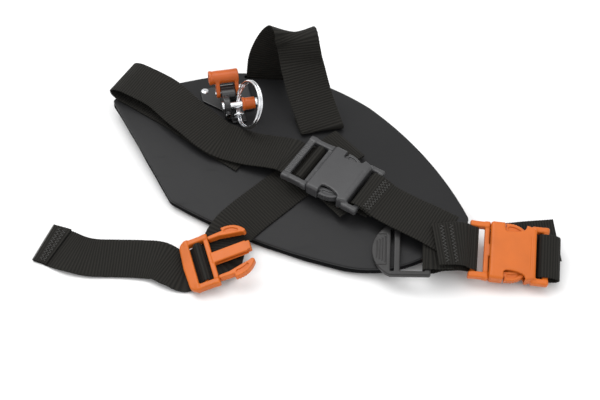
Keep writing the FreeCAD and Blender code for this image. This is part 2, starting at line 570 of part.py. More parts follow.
# a loop round the far bar, folded back under the socket, and the cut stub sewn below it
under_socket = -dim("socket_height") / 2 - dim("web_gap") - dim("web_thick") / 2 - 0.1
loop_out = dim("socket_length") + 10.0
socket_loop_rows = local_rows(RIGHT, [
    (slot_mid + 1.6, 0, -4.7), (slot_mid + 0.3, 0, -2.6), (slot_mid, 0, 0), (slot_mid + 1.0, 0, lift * 0.8),
    (socket_bar, 0, lift + 0.2), (socket_bar + 6, 0, lift - 0.2), (loop_out - 1.8, 0, 1.2),
    (loop_out, 0, -2.0),
    (loop_out - 1.8, 0, -5.2), (socket_bar + 5, 0, -7.2), (slot_mid + 1, 0, under_socket - 0.1),
    (30, 0, under_socket - 0.1), (18, 0, under_socket - 0.1)])
solid("socket_loop", ribbon(socket_loop_rows, 3.0))

STUB_TURN = math.radians(12.5)
stub_depth = under_socket - dim("web_thick") - dim("web_gap") - 0.3
stub_wide = RIGHT.Rotation.multVec(V(-math.sin(STUB_TURN), math.cos(STUB_TURN), 0))
STUB_START, STUB_ALONG = V(17.5, 12.6, stub_depth), V(math.cos(STUB_TURN), math.sin(STUB_TURN), 0)
side_rows = [(RIGHT.multVec(STUB_START + STUB_ALONG * run), stub_wide) for run in (0.0, 15.0, 30.0, 44.0)]
solid("side_strap", ribbon(side_rows))


# ---------------------------------------------------------------- check and write
doc.recompute()
for feature in doc.Objects:
    if "Invalid" in feature.State or "Error" in feature.State:
        raise RuntimeError("%s: %s" % (feature.Name, feature.State))
os.makedirs("parts", exist_ok=True)
box = FreeCAD.BoundBox()
for node in NODES:
    if node.Shape.isNull() or not node.Shape.isValid():
        raise RuntimeError("bad shape: " + node.Label)
    box.add(node.Shape.BoundBox)
    node.Shape.exportStep("parts/%s.step" % node.Label)
    print("%-24s solids %d  volume %9.1f" % (node.Label, len(node.Shape.Solids), node.Shape.Volume))
print("box", [round(v, 2) for v in (box.XMin, box.XMax, box.YMin, box.YMax, box.ZMin, box.ZMax)])
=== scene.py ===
"""Looks of the harness hip plate: every visible piece, its materials, the floor, light and camera.

Shapes are worked out in millimetres in the assembly's lay-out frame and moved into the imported
frame, in metres, when their meshes are made.
"""

import copy
import json
import math

import bmesh
import bpy
import numpy as np
from mathutils import Matrix, Vector


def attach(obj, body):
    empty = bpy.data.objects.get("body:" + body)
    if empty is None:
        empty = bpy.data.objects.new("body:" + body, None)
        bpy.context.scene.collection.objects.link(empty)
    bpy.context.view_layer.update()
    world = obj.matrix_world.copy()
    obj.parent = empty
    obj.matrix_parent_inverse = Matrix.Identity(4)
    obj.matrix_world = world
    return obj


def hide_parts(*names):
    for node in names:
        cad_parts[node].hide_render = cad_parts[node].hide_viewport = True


MM = 0.001

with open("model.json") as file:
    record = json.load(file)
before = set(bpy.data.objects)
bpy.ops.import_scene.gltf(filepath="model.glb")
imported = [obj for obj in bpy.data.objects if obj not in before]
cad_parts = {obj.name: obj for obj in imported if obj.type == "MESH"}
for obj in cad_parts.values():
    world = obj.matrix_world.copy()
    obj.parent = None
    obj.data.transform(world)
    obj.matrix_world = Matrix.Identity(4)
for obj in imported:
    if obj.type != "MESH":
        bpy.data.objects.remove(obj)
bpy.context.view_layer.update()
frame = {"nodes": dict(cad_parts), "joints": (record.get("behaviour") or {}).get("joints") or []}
JOINTS = {joint["name"]: joint for joint in frame["joints"]}


# ---- places, from the frame
def rigid(along, across, up, origin):
    """A placement in millimetres from three unit directions and an origin."""
    place = Matrix((along, across, up)).transposed().to_4x4()
    place.translation = origin
    return place


def buckle_place(prefix):
    """A buckle's own frame from its two prong hinges: X out of the webbing, Z out of its face."""
    far, near = JOINTS[prefix + "_far_squeeze"], JOINTS[prefix + "_near_squeeze"]
    far_pin, near_pin = Vector(far["pos_m"]) / MM, Vector(near["pos_m"]) / MM
    up = Vector(near["axis"]).normalized()
    across = (far_pin - near_pin).normalized()
    along = across.cross(up)
    return rigid(along, across, up, (far_pin + near_pin) / 2 - along * HINGE_X)


def fitting_place():
    """The quick-release fitting's frame from its handle hinge and its roller axle."""
    handle, roller = JOINTS["handle_release"], JOINTS["roller_spin"]
    along = Vector(handle["axis"]).normalized()
    pin, axle = Vector(handle["pos_m"]) / MM, Vector(roller["pos_m"]) / MM
    to_axle = axle - pin
    to_axle -= along * to_axle.dot(along)
    reach_y, reach_z = SHAFT_Y, SHAFT_Z - PIN_Z
    unit = to_axle.normalized()
    side = along.cross(unit)
    cos, sin = reach_y / math.hypot(reach_y, reach_z), reach_z / math.hypot(reach_y, reach_z)
    across, up = unit * cos - side * sin, unit * sin + side * cos
    return rigid(along, across, up, pin - up * PIN_Z)


def posed(x, y, z, yaw, pitch, roll):
    """A lay-out placement from a point and three turns in degrees."""
    turns = [Matrix.Rotation(math.radians(angle), 4, axis)
             for angle, axis in ((yaw, "Z"), (pitch, "Y"), (roll, "X"))]
    return Matrix.Translation((x, y, z)) @ turns[0] @ turns[1] @ turns[2]


HINGE_X, PLATE_TURN = 1.95, -23.7
SHAFT_Y, SHAFT_Z, PIN_Z = -19.0, 16.0, 15.0
BLACK, RIGHT, FREE = (buckle_place(name) for name in ("black_plug", "right_plug", "free_plug"))
SHIFT = BLACK.translation - Vector((18.0, -0.8, 33.0))
FITTING = fitting_place()
LOCK = Matrix.Translation(SHIFT) @ posed(86.5, -80.0, 19.3, -4.0, -4.5, 6.0)
PLATE = Matrix.Translation(SHIFT) @ posed(-8.0, 23.0, 0.0, PLATE_TURN, 0.0, 0.0)
RING = JOINTS["ring_swing"]


# ---- materials
class Material:
    """A node material: a principled shader and short calls that add procedural detail to it."""

    def __init__(self, name, colour, rough, **sockets):
        self.data = bpy.data.materials.new(name)
        self.data.use_nodes = True
        self.nodes, self.links = self.data.node_tree.nodes, self.data.node_tree.links
        self.shader = self.nodes["Principled BSDF"]
        self.shader.inputs["Base Color"].default_value = (*colour, 1)
        self.shader.inputs["Roughness"].default_value = rough
        for socket, value in sockets.items():
            self.shader.inputs[socket.replace("_", " ")].default_value = value
        self.colour, self.rough = colour, rough
        self.height = None

    def feed(self, socket, value):
        """Link a socket to another one, or set it to a constant."""
        if isinstance(value, bpy.types.NodeSocket):
            self.links.new(value, socket)
        else:
            socket.default_value = value

    def add(self, kind, **inputs):
        node = self.nodes.new("ShaderNode" + kind)
        for key, value in inputs.items():
            self.feed(node.inputs[key.replace("_", " ")], value)
        return node

    def math(self, operation, first, second=0.0):
        node = self.nodes.new("ShaderNodeMath")
        node.operation = operation
        self.feed(node.inputs[0], first)
        self.feed(node.inputs[1], second)
        return node.outputs[0]

    def place(self):
        """Coordinates fixed to the object, in metres."""
        return self.nodes.new("ShaderNodeTexCoord").outputs["Object"]

    def noise(self, scale, detail=3.0, stretch=None):
        where = self.place()
        if stretch:
            where = self.add("Mapping", Vector=where, Scale=stretch).outputs[0]
        return self.add("TexNoise", Vector=where, Scale=scale, Detail=detail).outputs["Fac"]

    def ramp(self, value, low, high, from_low=0.0, from_high=1.0):
        """A value mapped from one range to another, clamped."""
        node = self.nodes.new("ShaderNodeMapRange")
        self.links.new(value, node.inputs["Value"])
        for key, number in (("From Min", from_low), ("From Max", from_high),
                            ("To Min", low), ("To Max", high)):
            node.inputs[key].default_value = number
        return node.outputs[0]

    def shade(self, value, dark, light):
        """Base colour between dark and light times the material's own, by value from 0 to 1."""
        mix = self.nodes.new("ShaderNodeMix")
        mix.data_type = "RGBA"
        self.links.new(value, mix.inputs["Factor"])
        mix.inputs["A"].default_value = (*[c * dark for c in self.colour], 1)
        mix.inputs["B"].default_value = (*[c * light for c in self.colour], 1)
        self.links.new(mix.outputs["Result"], self.shader.inputs["Base Color"])
        return self

    def roughen(self, value, low, high):
        self.links.new(self.ramp(value, low, high), self.shader.inputs["Roughness"])
        return self

    def bump(self, value, distance, strength=1.0):
        """One more layer of relief; distance is its depth in metres."""
        node = self.add("Bump", Height=value, Distance=distance, Strength=strength)
        if self.height is not None:
            self.links.new(self.height, node.inputs["Normal"])
        self.height = node.outputs[0]
        self.links.new(self.height, self.shader.inputs["Normal"])
        return self


def moulded(name, colour, rough, grain=900.0, depth=0.00003, **sockets):
    """Injection-moulded plastic: fine spark-eroded grain, faint flow marks, uneven gloss."""
    made = Material(name, colour, rough, **sockets)
    flow = made.noise(38.0, 4.0)
    made.shade(made.ramp(flow, 0.0, 1.0, 0.3, 0.7), 0.9, 1.06)
    made.roughen(made.noise(170.0, 5.0), rough - 0.07, rough + 0.09)
    made.bump(made.noise(grain, 2.0), depth)
    made.bump(made.noise(60.0, 1.0), 0.00006, 0.5)
    return made.data


def metal(name, colour, rough, metallic, **sockets):
    made = Material(name, colour, rough, Metallic=metallic, **sockets)
    scuff = made.noise(420.0, 6.0, stretch=(1.0, 1.0, 4.0))
    made.shade(made.ramp(scuff, 0.0, 1.0, 0.35, 0.7), 0.92, 1.04)
    made.roughen(scuff, max(rough - 0.05, 0.02), rough + 0.08)
    made.bump(scuff, 0.000012)
    return made.data


def shell_material():
    """Thermoformed sheet: satin, leather-fine grain, a few long faint scuffs."""
    made = Material("shell_sheet", (0.0150, 0.0150, 0.0158), 0.48, Specular_IOR_Level=0.2)
    made.shade(made.ramp(made.noise(14.0, 5.0), 0.0, 1.0, 0.35, 0.65), 0.93, 1.06)
    scuff = made.ramp(made.noise(34.0, 6.0, stretch=(1.0, 7.0, 1.0)), 0.0, 1.0, 0.62, 0.72)
    made.roughen(scuff, 0.44, 0.54)
    cells = made.add("TexVoronoi", Vector=made.place(), Scale=1500.0).outputs["Distance"]
    made.bump(cells, 0.00004, 0.6)
    made.bump(made.noise(2400.0, 2.0), 0.00003, 0.7)
    return made.data


def foam_material():
    """Black closed-cell foam, with open pores where it is cut at the edge; the pore hollows are darkened
    with painted shade.
    """
    made = Material("backing_foam", (0.0050, 0.0050, 0.0055), 0.88, Specular_IOR_Level=0.08)
    pores = made.add("TexVoronoi", Vector=made.place(), Scale=820.0).outputs["Distance"]
    # pore centres, which the bump below sinks, are darkened: painted shade in the pore hollows
    made.shade(made.ramp(pores, 0.0, 1.0, 0.1, 0.7), 0.6, 1.35)
    made.bump(pores, 0.00016)
    made.bump(made.noise(240.0, 4.0), 0.0002, 0.5)
    return made.data


def webbing_material():
    """Ribbed polypropylene webbing: picks across, warp yarns along, in the strap's own metres; the colour
    carries painted shade in the rib valleys and between the yarns, painted highlight on their tops, and
    random fuzz.
    """
    made = Material("webbing_weave", (0.0112, 0.0105, 0.0088), 0.72, Sheen_Weight=0.02,
                    Specular_IOR_Level=0.16)
    flat = made.nodes.new("ShaderNodeUVMap")
    flat.uv_map = "strap"
    parts = made.add("SeparateXYZ", Vector=flat.outputs[0])
    across, along = parts.outputs[0], parts.outputs[1]
    rib = made.math("SINE", made.math("MULTIPLY", along, 2 * math.pi / (RIB_PITCH * MM)))
    rib = made.ramp(rib, 0.0, 1.0, -1.0, 1.0)
    warp = made.math("MULTIPLY", across, 2 * math.pi / 0.0011)
    shifted = made.math("ADD", warp, made.math("MULTIPLY", along, math.pi / (RIB_PITCH * MM)))
    yarn = made.ramp(made.math("SINE", shifted), 0.0, 1.0, -1.0, 1.0)
    fuzz = made.noise(2600.0, 2.0)
    # rib and yarn phases darken the colour in the valleys and lighten it on the tops: painted shade and
    # painted highlight; the fuzz noise is random tone
    relief_shade_and_fuzz = made.math("ADD", made.math("MULTIPLY", rib, 0.55), made.math("MULTIPLY", yarn, 0.25))
    relief_shade_and_fuzz = made.math("ADD", relief_shade_and_fuzz, made.math("MULTIPLY", fuzz, 0.2))
    made.shade(relief_shade_and_fuzz, 0.25, 2.1)
    made.bump(yarn, 0.00016, 0.8)
    made.bump(rib, 0.00020, 0.7)
    made.bump(fuzz, 0.00006, 0.6)
    return made.data


def thread_material():
    made = Material("bonded_thread", (0.05, 0.049, 0.046), 0.42)
    twist = made.noise(1900.0, 2.0, stretch=(1.0, 1.0, 3.0))
    made.shade(twist, 0.7, 1.4)
    made.bump(twist, 0.00006)
    return made.data


RIB_PITCH = 2.4
SHELL, FOAM, WEB, THREAD_FINISH = shell_material(), foam_material(), webbing_material(), thread_material()
BLACK_PLASTIC = moulded("black_acetal", (0.050, 0.050, 0.052), 0.36)
LOCK_PLASTIC = moulded("lock_acetal", (0.024, 0.023, 0.023), 0.42, Specular_IOR_Level=0.35)
ORANGE = moulded("orange_acetal", (0.60, 0.135, 0.014), 0.36, Specular_IOR_Level=0.3)
HANDLE_ORANGE = moulded("handle_nylon", (0.50, 0.095, 0.010), 0.3, grain=500.0, Specular_IOR_Level=0.4)
BLACK_STEEL = metal("coated_steel", (0.018, 0.018, 0.019), 0.34, 0.0, Coat_Weight=0.25)
CHROME = metal("plated_steel", (0.82, 0.83, 0.85), 0.12, 1.0)


# ---- mesh helpers
def show(made):
    """Put an object in the scene."""
    bpy.context.scene.collection.objects.link(made)
    return made


def moved(points, place):
    """Points of a placement's own frame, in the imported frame."""
    return np.asarray(points, float) @ np.array(place.to_3x3()).T + np.array(place.translation)


def piece(name, points, faces, finish, body="root", nodes=(), uv=None, place=None):
    """A mesh object from millimetre points, riding on a body and standing for CAD nodes."""
    points = np.asarray(points, float) if place is None else moved(points, place)
    mesh = bpy.data.meshes.new(name)
    mesh.from_pydata((points * MM).tolist(), [], faces if isinstance(faces, list) else faces.tolist())
    mesh.validate()
    mesh.update()
    if uv is not None:
        layer = mesh.uv_layers.new(name="strap")
        loops = np.zeros(len(mesh.loops), int)
        mesh.loops.foreach_get("vertex_index", loops)
        layer.data.foreach_set("uv", (np.asarray(uv)[loops] * MM).ravel())
    mesh.polygons.foreach_set("use_smooth", [True] * len(mesh.polygons))
    mesh.materials.append(finish)
    made = show(bpy.data.objects.new(name, mesh))
    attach(made, body)
    if nodes:
        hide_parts(*nodes)
    return made


def merge(parts):
    """One point array and face list from several."""
    points, faces, start = [], [], 0
    for part_points, part_faces in parts:
        points.append(np.asarray(part_points, float))
        faces += [[i + start for i in face] for face in part_faces]
        start += len(part_points)
    return np.vstack(points), faces


def rings_to_faces(ring_count, ring_size, closed_rings=False):
    """Quads between successive rings of points; each ring is closed."""
    faces = []
    for r in range(ring_count if closed_rings else ring_count - 1):
        low, high = r * ring_size, ((r + 1) % ring_count) * ring_size
        for k in range(ring_size):
            n = (k + 1) % ring_size
            faces.append([low + k, low + n, high + n, high + k])
    return faces


def tube(path, radius, sides=8):
    """A round tube along a polyline, with closed ends."""
    path = np.asarray(path, float)
    ahead = np.gradient(path, axis=0)
    ahead /= np.linalg.norm(ahead, axis=1)[:, None]
    side = np.cross(ahead[0], (0.0, 0.0, 1.0) if abs(ahead[0][2]) < 0.9 else (1.0, 0.0, 0.0))
    points = []
    for here, way in zip(path, ahead):
        side = side - way * side.dot(way)
        side /= np.linalg.norm(side)
        up = np.cross(way, side)
        for k in range(sides):
            angle = 2 * math.pi * k / sides
            points.append(here + radius * (side * math.cos(angle) + up * math.sin(angle)))
    faces = rings_to_faces(len(path), sides)
    last = (len(path) - 1) * sides
    return points, faces + [list(range(sides))[::-1], list(range(last, last + sides))]


def lathe(profile, segments=72):
    """A closed ring-shaped or solid profile of (x, radius) turned about X."""
    points = [(x, r * math.cos(2 * math.pi * k / segments), r * math.sin(2 * math.pi * k / segments))
              for x, r in profile for k in range(segments)]
    return points, rings_to_faces(len(profile), segments, closed_rings=True)


# ---- solids from distance fields
def points_at(x, y, z):
    return np.stack([x, y, z], -1)


def rounded(q, r):
    """Distance to where slabs overlap, edges rounded by r; q is the distance to each, plus r."""
    return np.linalg.norm(np.maximum(q, 0), axis=-1) + np.minimum(q.max(-1), 0) - r


def ball_box(p, low, high, r):
    """Distance to a box with rounded edges."""
    low, high = np.asarray(low, float), np.asarray(high, float)
    return rounded(np.abs(p - (low + high) / 2) - ((high - low) / 2 - r), r)


def join(a, b, k=0.8):
    """Union with a fillet about k wide."""
    h = np.clip(0.5 + 0.5 * (b - a) / k, 0, 1)
    return b * (1 - h) + a * h - k * h * (1 - h)


def carve(a, b, k=0.5):
    """a without b, the edge broken by about k."""
    return -join(-a, b, k)


def outline(steps, arc_points=10):
    """A closed outline from points and (through, end) three-point arcs."""
    points = [Vector(steps[0])]
    for step in steps[1:]:
        if not isinstance(step[0], tuple):
            points.append(Vector(step))
            continue
        a, b, c = points[-1], Vector(step[0]), Vector(step[1])
        d = 2 * (a.x * (b.y - c.y) + b.x * (c.y - a.y) + c.x * (a.y - b.y))
        aa, bb, cc = a.length_squared, b.length_squared, c.length_squared
        centre = Vector(((aa * (b.y - c.y) + bb * (c.y - a.y) + cc * (a.y - b.y)) / d,
                         (aa * (c.x - b.x) + bb * (a.x - c.x) + cc * (b.x - a.x)) / d))
        turn = [q - centre for q in (a, b, c)]
        start = math.atan2(turn[0].y, turn[0].x)
        sweep = (math.atan2(turn[2].y, turn[2].x) - start) % (2 * math.pi)
        if (math.atan2(turn[1].y, turn[1].x) - start) % (2 * math.pi) > sweep:
            sweep -= 2 * math.pi
        for k in range(1, arc_points + 1):
            angle = start + sweep * k / arc_points
            points.append(centre + Vector((math.cos(angle), math.sin(angle))) * turn[0].length)
    return np.array([tuple(q) for q in points[:-1]])


def prism(p, corners, low, high, r, plane=(0, 1, 2)):
    """Distance to an outline padded from low to high along the third axis of plane, edges rounded."""
    flat = p[..., [plane[0], plane[1]]]
    nearest = np.full(flat.shape[:-1], 1e9)
    inside = np.zeros(flat.shape[:-1], bool)
    for a, b in zip(corners, np.roll(corners, -1, axis=0)):
        edge, rel = b - a, flat - a
        t = np.clip((rel @ edge) / max(edge @ edge, 1e-9), 0, 1)
        nearest = np.minimum(nearest, ((rel - t[..., None] * edge) ** 2).sum(-1))
        if abs(edge[1]) > 1e-9:
            spans = (a[1] <= flat[..., 1]) != (b[1] <= flat[..., 1])
            inside ^= spans & (rel[..., 0] < rel[..., 1] * edge[0] / edge[1])
    side = np.where(inside, -1, 1) * np.sqrt(nearest) + r
    deep = np.abs(p[..., plane[2]] - (low + high) / 2) - ((high - low) / 2 - r)
    return rounded(np.stack([side, deep], -1), r)


def rod(p, a, b, radius, r=0.3):
    """Distance to a round rod from a to b with softened ends."""
    a, b = np.asarray(a, float), np.asarray(b, float)
    way = (b - a) / np.linalg.norm(b - a)
    rel = p - (a + b) / 2
    along = rel @ way
    side = np.linalg.norm(rel - along[..., None] * way, axis=-1) - (radius - r)
    deep = np.abs(along) - (np.linalg.norm(b - a) / 2 - r)
    return rounded(np.stack([side, deep], -1), r)


def surface_net(field, low, step):
    """Points and quads on the zero level of a grid of distances."""
    inside = field < 0
    cells = tuple(n - 1 for n in field.shape)
    total, count = np.zeros(cells + (3,)), np.zeros(cells)

    def corner(grid, offset):
        return grid[tuple(slice(o, o + n) for o, n in zip(offset, cells))]
    for axis in range(3):
        for u in (0, 1):
            for v in (0, 1):
                start = [u, v]
                start.insert(axis, 0)
                end = list(start)
                end[axis] = 1
                a, b = corner(field, start), corner(field, end)
                crossing = (a < 0) != (b < 0)
                share = np.where(crossing, a / np.where(crossing, a - b, 1), 0)
                for d in range(3):
                    total[..., d] += np.where(crossing, start[d] + (share if d == axis else 0), 0)
                count += crossing
    active = count > 0
    index = np.full(cells, -1)
    index[active] = np.arange(active.sum())
    points = (np.argwhere(active) + total[active] / count[active][:, None]) * step + low
    faces = []
    for axis in range(3):
        u, v = [d for d in range(3) if d != axis]
        ahead = [slice(None)] * 3
        behind = [slice(None)] * 3
        ahead[axis], behind[axis] = slice(1, None), slice(None, -1)
        change = inside[tuple(ahead)] != inside[tuple(behind)]
        spots = np.argwhere(change)
        spots = spots[(spots[:, u] > 0) & (spots[:, v] > 0)
                      & (spots[:, u] < cells[u]) & (spots[:, v] < cells[v])]
        quad = []
        for du, dv in ((0, 0), (1, 0), (1, 1), (0, 1)):
            at = spots.copy()
            at[:, u] -= du
            at[:, v] -= dv
            quad.append(index[tuple(at.T)])
        quad = np.stack(quad, 1)
        starts_inside = inside[tuple(spots.T)]
        flip = starts_inside if axis != 1 else ~starts_inside
        quad[~flip] = quad[~flip][:, ::-1]
        faces.append(quad)
    return points, np.vstack(faces)


def moulding(name, field, low, high, finish, place, body="root", nodes=(), step=0.42):
    """A solid piece from a distance field sampled between two corners of its own frame."""
    low, high = np.asarray(low, float) - 1.5 * step, np.asarray(high, float) + 1.5 * step
    axes = [np.arange(a, b + step, step) for a, b in zip(low, high)]
    grid = np.stack(np.meshgrid(*axes, indexing="ij"), -1)
    points, faces = surface_net(field(grid), low, step)
    return piece(name, points, faces, finish, body, nodes or (name,), place=place)


# ---- hip plate
BEND_RADIUS, CROWN_Y, CROWN_Z = 480.0, 8.0, 19.4
SHELL_THICK, PAD_THICK, PAD_GAP = 2.5, 6.7, 0.15
LEAF = [(-178, 3), ((-181, -1), (-178, -6)), (-86, -78), ((-83, -80.5), (-79, -82)),
        ((20, -89.5), (88, -85)), ((140, -60), (168, -10)), ((170, -4), (167, 2)),
        ((112, 50), (41, 91)), ((0, 101.5), (-42, 104)), ((-47, 103.5), (-52, 101.5)),
        (-92, 81), ((-137, 42), (-178, 3))]
SLOT_X, SLOT_Y, SLOT_LENGTH, SLOT_WIDTH, SLOT_TURN = -31.0, 129.0, 45.0, 5.0, 1.0


def even_outline(steps, count):
    """The outline resampled at even steps along its length."""
    points = outline(steps, 24)
    closed = np.vstack([points, points[:1]])
    run = np.concatenate([[0], np.cumsum(np.linalg.norm(np.diff(closed, axis=0), axis=1))])
    at = np.linspace(0, run[-1], count, endpoint=False)
    return np.stack([np.interp(at, run, closed[:, d]) for d in range(2)], 1)


def bend_height(y, drop):
    """Height of the bent layer that lies drop below the plate's face."""
    return CROWN_Z - BEND_RADIUS + np.sqrt((BEND_RADIUS - drop) ** 2 - (y - CROWN_Y) ** 2)


def leaf_layer(drop, thick, edge, swell=0.0, count=560, rings=44):
    """The bent leaf as points and faces: face, rounded rim and back, swelling in waves by swell."""
    rim = even_outline(LEAF, count)
    tangent = np.roll(rim, -1, axis=0) - np.roll(rim, 1, axis=0)
    tangent /= np.linalg.norm(tangent, axis=1)[:, None]
    outward = np.stack([tangent[:, 1], -tangent[:, 0]], 1)
    if ((rim - rim.mean(0)) * outward).sum() < 0:
        outward = -outward
    for _ in range(6):
        outward = (np.roll(outward, 1, axis=0) + outward * 2 + np.roll(outward, -1, axis=0)) / 4
    wave = swell * (np.sin(np.arange(count) * 2 * math.pi * 23 / count) * 0.6
                    + np.sin(np.arange(count) * 2 * math.pi * 9 / count + 1.3))
    heart = np.array([-5.0, 6.0])
    rows = [(1 - (k / rings) ** 1.25, edge, 0.0) for k in range(1, rings)]
    rows += [(0.0, edge * (1 - math.sin(a)), edge * (1 - math.cos(a)))
             for a in np.linspace(0, math.pi / 2, 6)]
    back = [(fill, inset, thick - down) for fill, inset, down in rows[::-1]]
    points = []
    for fill, inset, down in rows + back:
        ring = rim - outward * (inset - np.where(inset < edge, wave, 0)[..., None] if swell else inset)
        ring = ring * (1 - fill) + heart * fill
        height = bend_height(ring[:, 1], drop + down)
        points.append(np.column_stack([ring, height]))
    faces = rings_to_faces(len(points), count)
    last = (len(points) - 1) * count
    faces += [list(range(count)), list(range(last, last + count))[::-1]]
    return np.vstack(points), faces


def bake(made):
    """Replace an object's mesh with the result of its modifiers."""
    result = bpy.data.meshes.new_from_object(made.evaluated_get(bpy.context.evaluated_depsgraph_get()))
    made.modifiers.clear()
    made.data = result
    return made


def facing_out(made):
    """Turn every face outwards."""
    work = bmesh.new()
    work.from_mesh(made.data)
    bmesh.ops.recalc_face_normals(work, faces=work.faces)
    work.to_mesh(made.data)
    work.free()
    return made


def cutter(points, faces, place):
    """A plain mesh object for cutting, later removed."""
    mesh = bpy.data.meshes.new("cutter")
    mesh.from_pydata((moved(points, place) * MM).tolist(), [], faces)
    return facing_out(show(bpy.data.objects.new("cutter", mesh)))


def slot_prism():
    """The strap slot as an upright prism with round corners."""
    half_x, half_y, r = SLOT_LENGTH / 2, SLOT_WIDTH / 2, 2.0
    ring = []
    for cx, cy, start in ((half_x - r, half_y - r, 0), (-half_x + r, half_y - r, 90),
                          (-half_x + r, -half_y + r, 180), (half_x - r, -half_y + r, 270)):
        for k in range(7):
            angle = math.radians(start + 15 * k)
            ring.append((cx + r * math.cos(angle), cy + r * math.sin(angle)))
    points = [(x, y, z) for z in (4.0, 30.0) for x, y in ring]
    size = len(ring)
    return points, rings_to_faces(2, size) + [list(range(size))[::-1], list(range(size, 2 * size))]


def build_plate():
    points, faces = leaf_layer(0.0, SHELL_THICK, 0.7)
    shell = facing_out(piece("hip_plate_shell", points, faces, SHELL,
                             nodes=("hip_plate",), place=PLATE))
    slot_place = Matrix.Translation(SHIFT) @ posed(SLOT_X, SLOT_Y, 0, SLOT_TURN, 0, 0)
    tool = cutter(*slot_prism(), slot_place)
    boolean = shell.modifiers.new("slot", "BOOLEAN")
    boolean.operation, boolean.object, boolean.solver = "DIFFERENCE", tool, "EXACT"
    bake(shell)
    bpy.data.objects.remove(tool)
    shell.data.set_sharp_from_angle(angle=math.radians(40))
    points, faces = leaf_layer(SHELL_THICK - PAD_GAP + 0.3, PAD_THICK - 0.35, 2.6, swell=0.22)
    pad = facing_out(piece("foam_backing_pad", points, faces, FOAM,
                           nodes=("foam_backing",), place=PLATE))


# ---- webbing
WEB_WIDTH, WEB_THICK, WEB_GAP = 40.0, 1.5, 0.35
RIB_DEPTH, STATION = 0.24, 0.48


def row_at(x, y, z, turn, lean=0.0):
    """A free row: width along turn degrees in plan, leaning up by lean degrees."""
    angle, tip = math.radians(turn), math.radians(lean)
    wide = Vector((math.cos(tip) * math.cos(angle), math.cos(tip) * math.sin(angle), math.sin(tip)))
    return Vector((x, y, z)) + SHIFT, wide


def free(*rows):
    """Several free rows."""
    return [row_at(*row) for row in rows]


def on_plate(x, y, turn, rise=0.0):
    """A row lying on the plate, rise above its face."""
    local = PLATE.inverted() @ (Vector((x, y, 0)) + SHIFT)
    across = local.y - CROWN_Y
    height = CROWN_Z - across ** 2 / (2 * BEND_RADIUS)
    angle = math.radians(turn)
    lean = -across / BEND_RADIUS * math.cos(angle - math.radians(PLATE_TURN + 90))
    lift = WEB_GAP + WEB_THICK / 2 + rise
    return Vector((x, y, height + lift)) + SHIFT, Vector((math.cos(angle), math.sin(angle), lean))


def lying(*rows):
    """Several rows on the plate."""
    return [on_plate(*row) for row in rows]


def below_shell(x, y, drop=0.0):
    """A row in the pocket between the shell and the foam."""
    point, wide = on_plate(x, y, 1)
    return point - Vector((0, 0, SHELL_THICK + 2 * WEB_GAP + WEB_THICK + drop)), wide


def local_rows(place, points):
    """Rows given in a buckle's own frame, the width along its Y."""
    wide = (place.to_3x3() @ Vector((0, 1, 0))).normalized()
    return [(place @ Vector(point), wide) for point in points]


